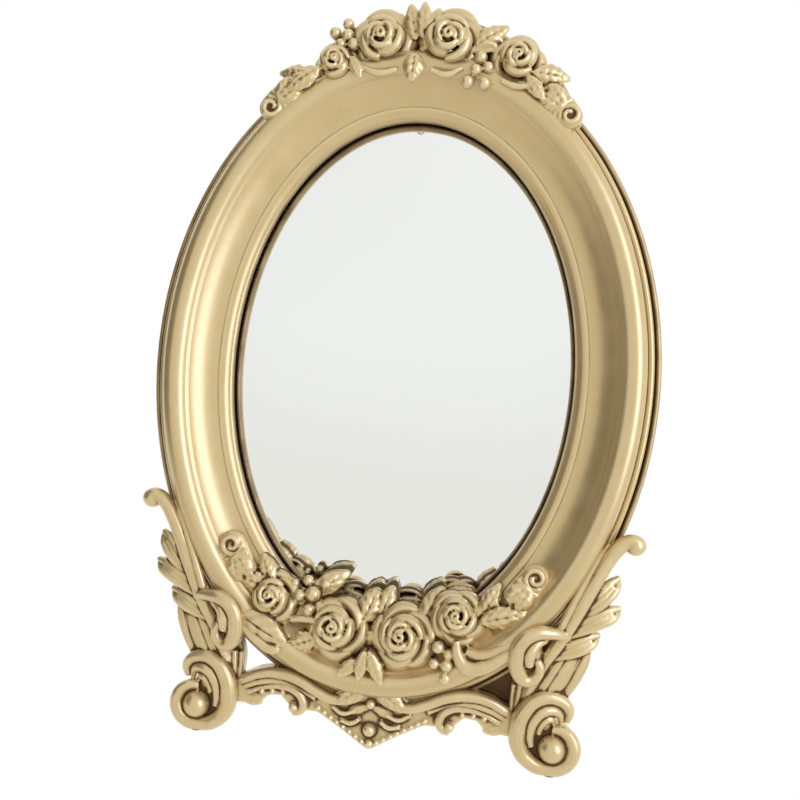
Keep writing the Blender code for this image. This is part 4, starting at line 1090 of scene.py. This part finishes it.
def feather_runs():
    """Pairs of bars side by side, which make feathers with a crease along their middle."""
    runs = []
    for root, middle, tip in FOOT_FEATHERS:
        root, middle, tip = Vector(root), Vector(middle), Vector(tip)
        across = Vector((root.y - tip.y, tip.x - root.x)).normalized()
        for side in (-1.0, 1.0):
            gap = across * side
            runs.append([(*(root + gap * 0.8), 9.6, 1.4), (*(middle + gap * 1.6), 9.4, 1.9),
                         (*(tip - (tip - middle) * 0.35 + gap * 1.5), 8.0, 1.8),
                         (*(tip + gap * 0.5 + (tip - middle) * 0.06 * side), 6.6, 1.1)])
        runs.append([(*root, 10.2, 0.8), (*middle, 10.4, 1.0),
                     (*(tip - (tip - middle) * 0.3), 9.0, 0.7)])
    return runs


def make_scroll_foot(masters, side, name, node):
    """One scroll foot: band with a curled knob, knotted hook, feathers, reeds and volute."""
    shapes = [slab("foot_bed", FOOT_OUTLINE, 0.8, 6.5, 1.0),
              swept("foot_arms", FOOT_ARMS), swept("foot_reeds", FOOT_REEDS),
              swept("foot_curls", FOOT_CURLS)]
    for base, tip, width in FOOT_BLADES:
        shapes.append(leaf_at(masters["blade"], base, tip, width))
    shapes.append(swept("foot_feathers", feather_runs()))
    knot = ball(0.0, 0.0, 0.0, 1.0)
    knot.data.transform(Matrix.Translation(Vector((55.6, -94.6, 11.4)) * MM)
                        @ Matrix.Diagonal((4.8, 7.4, 6.2, 1.0)))
    shapes += [knot, ball(89.9, -54.2, 9.4, 3.7)]
    shapes += [drum(*FOOT_CENTRE, 4.2, 8.6, 7.0, 48), ball(*FOOT_CENTRE, 8.8, 5.1)]
    foot = fused(name, shapes)
    if side < 0:
        points = points_of(foot)
        points[:, 0] *= -1.0
        set_points(foot, points)
        foot.data.flip_normals()
    mark_wear_and_painted_light(foot, floor_range=(5.5, 8.5), floor_depth=0.85)
    settle(foot, room_matrix(), ROOT, "gold_finish", gold_finish(), node)
    level_cut(foot, SOLE_HEIGHT * MM)
    return foot


def both_sides(shapes):
    """Shapes with their copies on the other side of the middle."""
    flip = Matrix.Diagonal((-1.0, 1.0, 1.0, 1.0))
    return shapes + [copied(shape, flip) for shape in shapes]


def make_apron(masters):
    """Apron with arched rails, bead rows, lily leaves and a pointed drop."""
    half = [swept("apron_rails", APRON_RAILS), ball(29.2, -127.0, 9.2, 1.9)]
    half += [ball(u, v, 9.4, 0.95) for u, v in APRON_BEADS]
    for number in range(DROP_BEADS):
        share = number / (DROP_BEADS - 1)
        half.append(ball(20.0 - 17.2 * share, -126.2 - 10.4 * share, 9.0, 0.85))
    half.append(leaf_at(masters["plain"], (1.2, -113.6, 11.5), (12.4, -122.2, 11.5), 7.0))
    half.append(leaf_at(masters["plain"], (49.0, -125.6, 8.0), (41.4, -127.0, 8.0), 4.0))
    half.append(leaf_at(masters["plain"], (1.0, -123.0, 9.5), (9.0, -126.4, 9.0), 3.0))
    shapes = both_sides(half)
    outline = list(APRON_OUTLINE) + [(-u, v) for u, v in APRON_OUTLINE[-2:0:-1]]
    shapes.append(slab("apron_bed", outline, 0.8, 9.0, 0.8, smooth=False))
    # Closed pocket behind the right-hand gap, low enough that the floor darkening makes it fully
    # dark
    shapes.append(slab("apron_pocket", APRON_POCKET, 0.8, 2.6, 0.3, smooth=False))
    for v, w, radius in ((-121.6, 11.0, 1.8), (-131.6, 9.6, 2.4), (-137.2, 8.6, 1.6)):
        shapes.append(ball(0.0, v, w, radius))
    apron = fused("apron_casting", shapes)
    mark_wear_and_painted_light(apron, floor_range=(3.0, 8.0), floor_depth=1.0)
    settle(apron, room_matrix(), ROOT, "gold_finish", gold_finish(), "apron")
    level_cut(apron, SOLE_HEIGHT * MM)
    return apron


# ---------------------------------------------------------------- hinge, leg, screws and pads

def pan_screw(name, place, seat, reach, matrix, node):
    """Pan-head screw with a cross recess, its head behind its seat."""
    radius, head, rise = 1.1, 2.8, 1.6
    screw = drum(0.0, 0.0, seat - rise / 2, head, rise, 24)
    screw.name = name
    select_all("DESELECT")
    bpy.ops.object.mode_set(mode="OBJECT")
    for face in screw.data.polygons:
        face.select = face.normal.z > 0.9
    bpy.ops.object.mode_set(mode="EDIT")
    bpy.ops.mesh.select_mode(type="FACE")
    bpy.ops.mesh.inset(thickness=(head - radius) * MM)
    bpy.ops.mesh.extrude_region_move(
        TRANSFORM_OT_translate={"value": (0.0, 0.0, (reach - seat - 0.8) * MM)})
    bpy.ops.mesh.extrude_region_move(TRANSFORM_OT_translate={"value": (0.0, 0.0, 0.8 * MM)})
    bpy.ops.transform.resize(value=(0.15, 0.15, 1.0))
    bpy.ops.object.mode_set(mode="OBJECT")
    rounded(screw, 0.55, segments=3, angle=50)
    for turn in (0.0, math.pi / 2):
        bpy.ops.mesh.primitive_cube_add(size=1.0, location=(0.0, 0.0, (seat - rise) * MM),
                                        rotation=(0.0, 0.0, turn))
        slot = bpy.context.object
        slot.scale = (3.4 * MM, 0.6 * MM, 1.5 * MM)
        combine(screw, slot, "DIFFERENCE")
    screw.data.transform(Matrix.Translation(Vector((*place, 0.0)) * MM)
                         @ Matrix.Rotation(place[0] * 0.7, 4, "Z"))
    return settle(screw, matrix, ROOT, "zinc_steel", steel_finish(), node, smooth_angle=30)


def make_screws():
    """Screws of the rear cover and of the hinge bracket."""
    half_width, half_height = oval_axes(SCREW_INSET)
    for number in range(COVER_SCREWS):
        turn = math.tau * (number + 0.5) / COVER_SCREWS
        place = (half_width * math.sin(turn), half_height * math.cos(turn))
        pan_screw(f"back_screw_{number + 1}", place, -RIM_DEPTH - 0.1, 3.6, room_matrix(),
                  f"cover_screw_{number + 1}")
    places = [(u * 32.0, HINGE_RISE + v * 5.0) for u in (-1, 1) for v in (-1, 1)]
    for number, place in enumerate(places, 1):
        pan_screw(f"bracket_screw_{number}", place, BRACKET_BACK - 0.1, -4.6, room_matrix(),
                  f"hinge_screw_{number}")


def block(name, low, high, edge):
    """Block between two corners with rounded edges."""
    low, high = Vector(low), Vector(high)
    bpy.ops.mesh.primitive_cube_add(size=1.0, location=(low + high) / 2 * MM)
    return rounded(frozen(name, (high - low) * MM), edge)


def cross_bar(name, radius, reach, place, edge=0.3):
    """Round bar along u with eased ends."""
    bpy.ops.mesh.primitive_cylinder_add(vertices=48, radius=radius * MM,
                                        depth=2 * reach * MM, rotation=(0.0, math.pi / 2, 0.0),
                                        location=Vector((0.0, *place)) * MM)
    bar = frozen(name)
    return rounded(bar, edge) if edge else bar


def combine(body, other, operation):
    """Boolean of two solids, applied; the other solid is used up."""
    step = body.modifiers.new("combine", "BOOLEAN")
    step.operation = operation
    step.object = other
    apply_all(body)
    discard(other)


def make_hinge():
    """Bent bracket with two lugs, and the headed pin through them."""
    axis = (HINGE_RISE, PIN_DEPTH)
    plate = block("hinge_plate",
                  (-BRACKET_HALF_WIDTH, HINGE_RISE - BRACKET_HALF_HEIGHT, BRACKET_BACK),
                  (BRACKET_HALF_WIDTH, HINGE_RISE + BRACKET_HALF_HEIGHT, BRACKET_FRONT), 0.4)
    for side in (-1, 1):
        lug = cross_bar("lug", LUG_RADIUS, LUG_HALF_THICKNESS, axis, edge=0.25)
        points = points_of(lug)
        points[:, 0] += side * LUG_PLACE * MM
        front = points[:, 2] > (PIN_DEPTH + 0.3) * MM
        points[front, 2] = (BRACKET_BACK + 0.6) * MM
        set_points(lug, points)
        combine(plate, lug, "UNION")
    combine(plate, cross_bar("bore", BORE_RADIUS, BORE_REACH, axis, edge=0), "DIFFERENCE")
    settle(plate, room_matrix(), ROOT, "zinc_steel", steel_finish(), "hinge_bracket",
           smooth_angle=30)
    pin = cross_bar("hinge_pin_steel", PIN_RADIUS, PIN_REACH, axis)
    for side in (-1, 1):
        head = cross_bar("head", PIN_HEAD_RADIUS, 0.6, axis, edge=0.45)
        points = points_of(head)
        points[:, 0] += side * PIN_HEAD_PLACE * MM
        set_points(head, points)
        combine(pin, head, "UNION")
    settle(pin, room_matrix(), ROOT, "zinc_steel", steel_finish(), "hinge_pin", smooth_angle=30)


def make_leg():
    """Tapered leg with its barrel and level foot, and the rubber strip under it."""
    outline = [(-20.0, 5.9), (-20.0, -12.0), (-38.0, -LEG_LENGTH + 34.0), (-38.0, -LEG_LENGTH)]
    outline += [(-u, v) for u, v in reversed(outline)]
    panel = slab("easel_leg_board", outline, LEG_BACK, LEG_FRONT, 0.5, smooth=False)
    barrel = cross_bar("barrel", BARREL_RADIUS, BARREL_REACH, (0.0, 0.0), edge=0.4)
    combine(panel, barrel, "UNION")
    bore = cross_bar("leg_bore", BORE_RADIUS, BORE_REACH, (0.0, 0.0), edge=0)
    combine(panel, bore, "DIFFERENCE")
    settle(panel, leg_matrix(), LEG, "brown_board", brown_finish(), "easel_leg", smooth_angle=30)
    level_cut(panel, SOLE_HEIGHT * MM)
    low, high = (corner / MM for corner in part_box("leg_pad"))
    pad = block("leg_rubber", low, high, 0.4)
    settle(pad, Matrix.Identity(4), LEG, "dark_rubber", rubber_finish(), "leg_pad", smooth_angle=30)


def make_pads():
    """Rubber discs under the scroll feet."""
    for node in ("foot_pad_left", "foot_pad_right"):
        low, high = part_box(node)
        bpy.ops.mesh.primitive_cylinder_add(vertices=48, radius=(high.x - low.x) / 2,
                                            depth=high.z - low.z, location=(low + high) / 2)
        pad = rounded(frozen(node.replace("foot_pad", "rubber_foot")), 0.3)
        settle(pad, Matrix.Identity(4), ROOT, "dark_rubber", rubber_finish(), node, smooth_angle=30)


# ---------------------------------------------------------------- stage

def make_camera():
    """Camera a little to the right of the mirror's axis, nearly square to its face."""
    sizes = bpy.context.scene.mirror_sizes
    bpy.ops.object.camera_add()
    camera = bpy.context.object
    across, upward = Vector(CAMERA_ACROSS), Vector(CAMERA_UPWARD)
    away = across.cross(upward).normalized()
    turn = Matrix((across, upward.normalized(), away)).transposed().to_4x4()
    camera.matrix_world = room_matrix() @ Matrix.Translation(Vector(CAMERA_PLACE) * MM) @ turn
    camera.data.sensor_width = 36.0
    camera.data.lens = sizes.lens
    bpy.context.scene.camera = camera


def make_window():
    """Cool pane of light on the right, which makes the broad highlights on the gold."""
    bpy.ops.object.light_add(type="AREA", location=WINDOW_PLACE)
    lamp = bpy.context.object
    lamp.name = "right_window"
    lamp.data.shape = "RECTANGLE"
    lamp.data.size, lamp.data.size_y = WINDOW_SIZE
    lamp.data.energy = WINDOW_POWER
    lamp.data.color = WINDOW_COLOUR
    facing = Vector(WINDOW_TARGET) - Vector(WINDOW_PLACE)
    lamp.rotation_euler = facing.to_track_quat("-Z", "Y").to_euler()


def make_cloth():
    """Dark cloth on the left, for the gold to reflect."""
    bpy.ops.mesh.primitive_plane_add(size=1.0, location=(0.0, 0.0, 0.0))
    flag = bpy.context.object
    flag.name = "dark_flag"
    flag.data.transform(Matrix.Translation(CLOTH_PLACE) @ Matrix.Rotation(CLOTH_TURN, 4, "Z")
                        @ Matrix.Rotation(math.pi / 2, 4, "Y")
                        @ Matrix.Diagonal((CLOTH_HEIGHT, 1.0, 1.0, 1.0)))
    finish, nodes, shader = new_finish("dark_cloth")
    place = nodes.add("ShaderNodeTexCoord").outputs["Object"]
    weave = nodes.noise(place, 40.0)
    nodes.wire(nodes.mix(weave, (0.035, 0.022, 0.014, 1.0), (0.05, 0.032, 0.02, 1.0)),
               shader.inputs["Base Color"])
    shader.inputs["Roughness"].default_value = 0.95
    flag.data.materials.append(finish)


def make_surroundings():
    """White behind the mirror, and a little dimmer in front, where the glass and the gold look."""
    world = bpy.data.worlds.new("soft_room")
    world.use_nodes = True
    bpy.context.scene.world = world
    nodes = Nodes(world.node_tree)
    shade = world.node_tree.nodes["Background"]
    facing = nodes.add("ShaderNodeSeparateXYZ")
    nodes.wire(nodes.add("ShaderNodeTexCoord").outputs["Generated"], facing.inputs["Vector"])
    aside = nodes.remap(facing.outputs["X"], -0.35, 0.15)
    around = nodes.mix(aside, (0.88, 0.88, 0.87, 1.0), (0.95, 0.95, 0.94, 1.0))
    rising = nodes.remap(facing.outputs["Z"], 0.04, 0.36)
    front = nodes.mix(rising, (0.85, 0.85, 0.81, 1.0), (0.925, 0.93, 0.905, 1.0))
    ahead = nodes.remap(facing.outputs["Y"], -0.82, -0.5)
    behind = nodes.remap(facing.outputs["Y"], 0.0, 0.25)
    colour = nodes.mix(behind, nodes.mix(ahead, front, around), (1.0, 1.0, 1.0, 1.0))
    nodes.wire(colour, shade.inputs["Color"])
    bpy.context.scene.view_settings.view_transform = "Standard"
    bpy.context.scene.view_settings.look = "None"


# ---------------------------------------------------------------- add-on

class MirrorSizes(bpy.types.PropertyGroup):
    """Sizes that a user may change."""
    lean: bpy.props.FloatProperty(
        name="Lean", description="How far the mirror leans back from upright",
        default=math.radians(15.0), subtype="ANGLE")
    carving_grain: bpy.props.FloatProperty(
        name="Carving Grain", description="Finest detail kept in the melted castings, in mm",
        default=0.38, min=0.2, max=1.5)
    moulding_steps: bpy.props.IntProperty(
        name="Moulding Steps", description="Divisions of the frame around the oval",
        default=216, min=48)
    lens: bpy.props.FloatProperty(
        name="Lens", description="Focal length of the camera",
        default=40.5, subtype="DISTANCE_CAMERA")


class MirrorColours(bpy.types.PropertyGroup):
    """Colours that a user may change."""
    gold: bpy.props.FloatVectorProperty(
        name="Gold", description="Colour of the gold paint", subtype="COLOR", size=3,
        default=(0.63, 0.468, 0.222), min=0.0, max=1.0)
    # Lighter gold of rubbed edges, which also paints the highlights on the frame's ridge and sight
    # edge and on the castings' raised edges
    worn_gold_and_highlight: bpy.props.FloatVectorProperty(
        name="Worn Gold And Highlight", description="Colour of the gold on rubbed edges", subtype="COLOR", size=3,
        default=(0.86, 0.735, 0.47), min=0.0, max=1.0)
    # Brown patina of the recesses, which also paints the shade around the glass, on the frame's
    # outer and back walls and on the garland's walls
    antique_and_shade: bpy.props.FloatVectorProperty(
        name="Antique And Shade", description="Colour left in the recesses", subtype="COLOR", size=3,
        default=(0.115, 0.055, 0.014), min=0.0, max=1.0)
    board: bpy.props.FloatVectorProperty(
        name="Board", description="Colour of the back and the leg", subtype="COLOR", size=3,
        default=(0.035, 0.016, 0.011), min=0.0, max=1.0)


class BuildOperator(bpy.types.Operator):
    """Shared settings of the operators that build pieces."""
    bl_options = {"REGISTER", "UNDO"}


class MIRROR_OT_frame(BuildOperator):
    """Build the oval frame moulding"""
    bl_idname = "mirror.frame"
    bl_label = "Frame Moulding"

    def execute(self, context):
        make_frame_moulding()
        return {"FINISHED"}


class MIRROR_OT_glass(BuildOperator):
    """Build the silvered glass"""
    bl_idname = "mirror.glass"
    bl_label = "Silvered Glass"

    def execute(self, context):
        make_glass()
        return {"FINISHED"}


class MIRROR_OT_castings(BuildOperator):
    """Build the garlands, the scroll feet and the apron"""
    bl_idname = "mirror.castings"
    bl_label = "Castings"

    def execute(self, context):
        masters = make_masters()
        make_crest(masters)
        make_lower_garland(masters)
        make_scroll_foot(masters, -1, "left_foot_casting", "left_scroll_foot")
        make_scroll_foot(masters, 1, "right_foot_casting", "right_scroll_foot")
        make_apron(masters)
        discard(*masters.values())
        return {"FINISHED"}


class MIRROR_OT_back(BuildOperator):
    """Build the rear cover and its screws"""
    bl_idname = "mirror.back"
    bl_label = "Rear Cover"

    def execute(self, context):
        make_back()
        make_screws()
        return {"FINISHED"}


class MIRROR_OT_hinge(BuildOperator):
    """Build the hinge bracket and its pin"""
    bl_idname = "mirror.hinge"
    bl_label = "Hinge"

    def execute(self, context):
        make_hinge()
        return {"FINISHED"}


class MIRROR_OT_leg(BuildOperator):
    """Build the easel leg, its rubber strip and the rubber feet"""
    bl_idname = "mirror.leg"
    bl_label = "Leg and Rubber Feet"

    def execute(self, context):
        make_leg()
        make_pads()
        return {"FINISHED"}


class MIRROR_OT_stage(BuildOperator):
    """Build the surroundings, the window, the cloth and the camera"""
    bl_idname = "mirror.stage"
    bl_label = "Stage"

    def execute(self, context):
        make_cloth()
        make_surroundings()
        make_window()
        make_camera()
        return {"FINISHED"}


OPERATORS = (MIRROR_OT_frame, MIRROR_OT_glass, MIRROR_OT_castings, MIRROR_OT_back, MIRROR_OT_hinge,
             MIRROR_OT_leg, MIRROR_OT_stage)


class MIRROR_PT_panel(bpy.types.Panel):
    """Lists the mirror's sizes, colours and pieces"""
    bl_idname = "MIRROR_PT_panel"
    bl_label = "Table Mirror"
    bl_space_type = "VIEW_3D"
    bl_region_type = "UI"
    bl_category = "Table Mirror"

    def draw(self, context):
        for group in (context.scene.mirror_sizes, context.scene.mirror_colours):
            for label in group.__annotations__:
                self.layout.prop(group, label)
        for operator in OPERATORS:
            self.layout.operator(operator.bl_idname)


CLASSES = (MirrorSizes, MirrorColours, *OPERATORS, MIRROR_PT_panel)


def register():
    for made in CLASSES:
        bpy.utils.register_class(made)
    bpy.types.Scene.mirror_sizes = bpy.props.PointerProperty(type=MirrorSizes)
    bpy.types.Scene.mirror_colours = bpy.props.PointerProperty(type=MirrorColours)


def unregister():
    del bpy.types.Scene.mirror_colours
    del bpy.types.Scene.mirror_sizes
    for made in reversed(CLASSES):
        bpy.utils.unregister_class(made)


def main():
    """Build every piece around the frame."""
    register()
    bpy.ops.object.select_all(action="DESELECT")
    bpy.ops.mirror.frame()
    bpy.ops.mirror.glass()
    bpy.ops.mirror.castings()
    bpy.ops.mirror.back()
    bpy.ops.mirror.hinge()
    bpy.ops.mirror.leg()
    bpy.ops.mirror.stage()


if __name__ == "__main__":
    main()
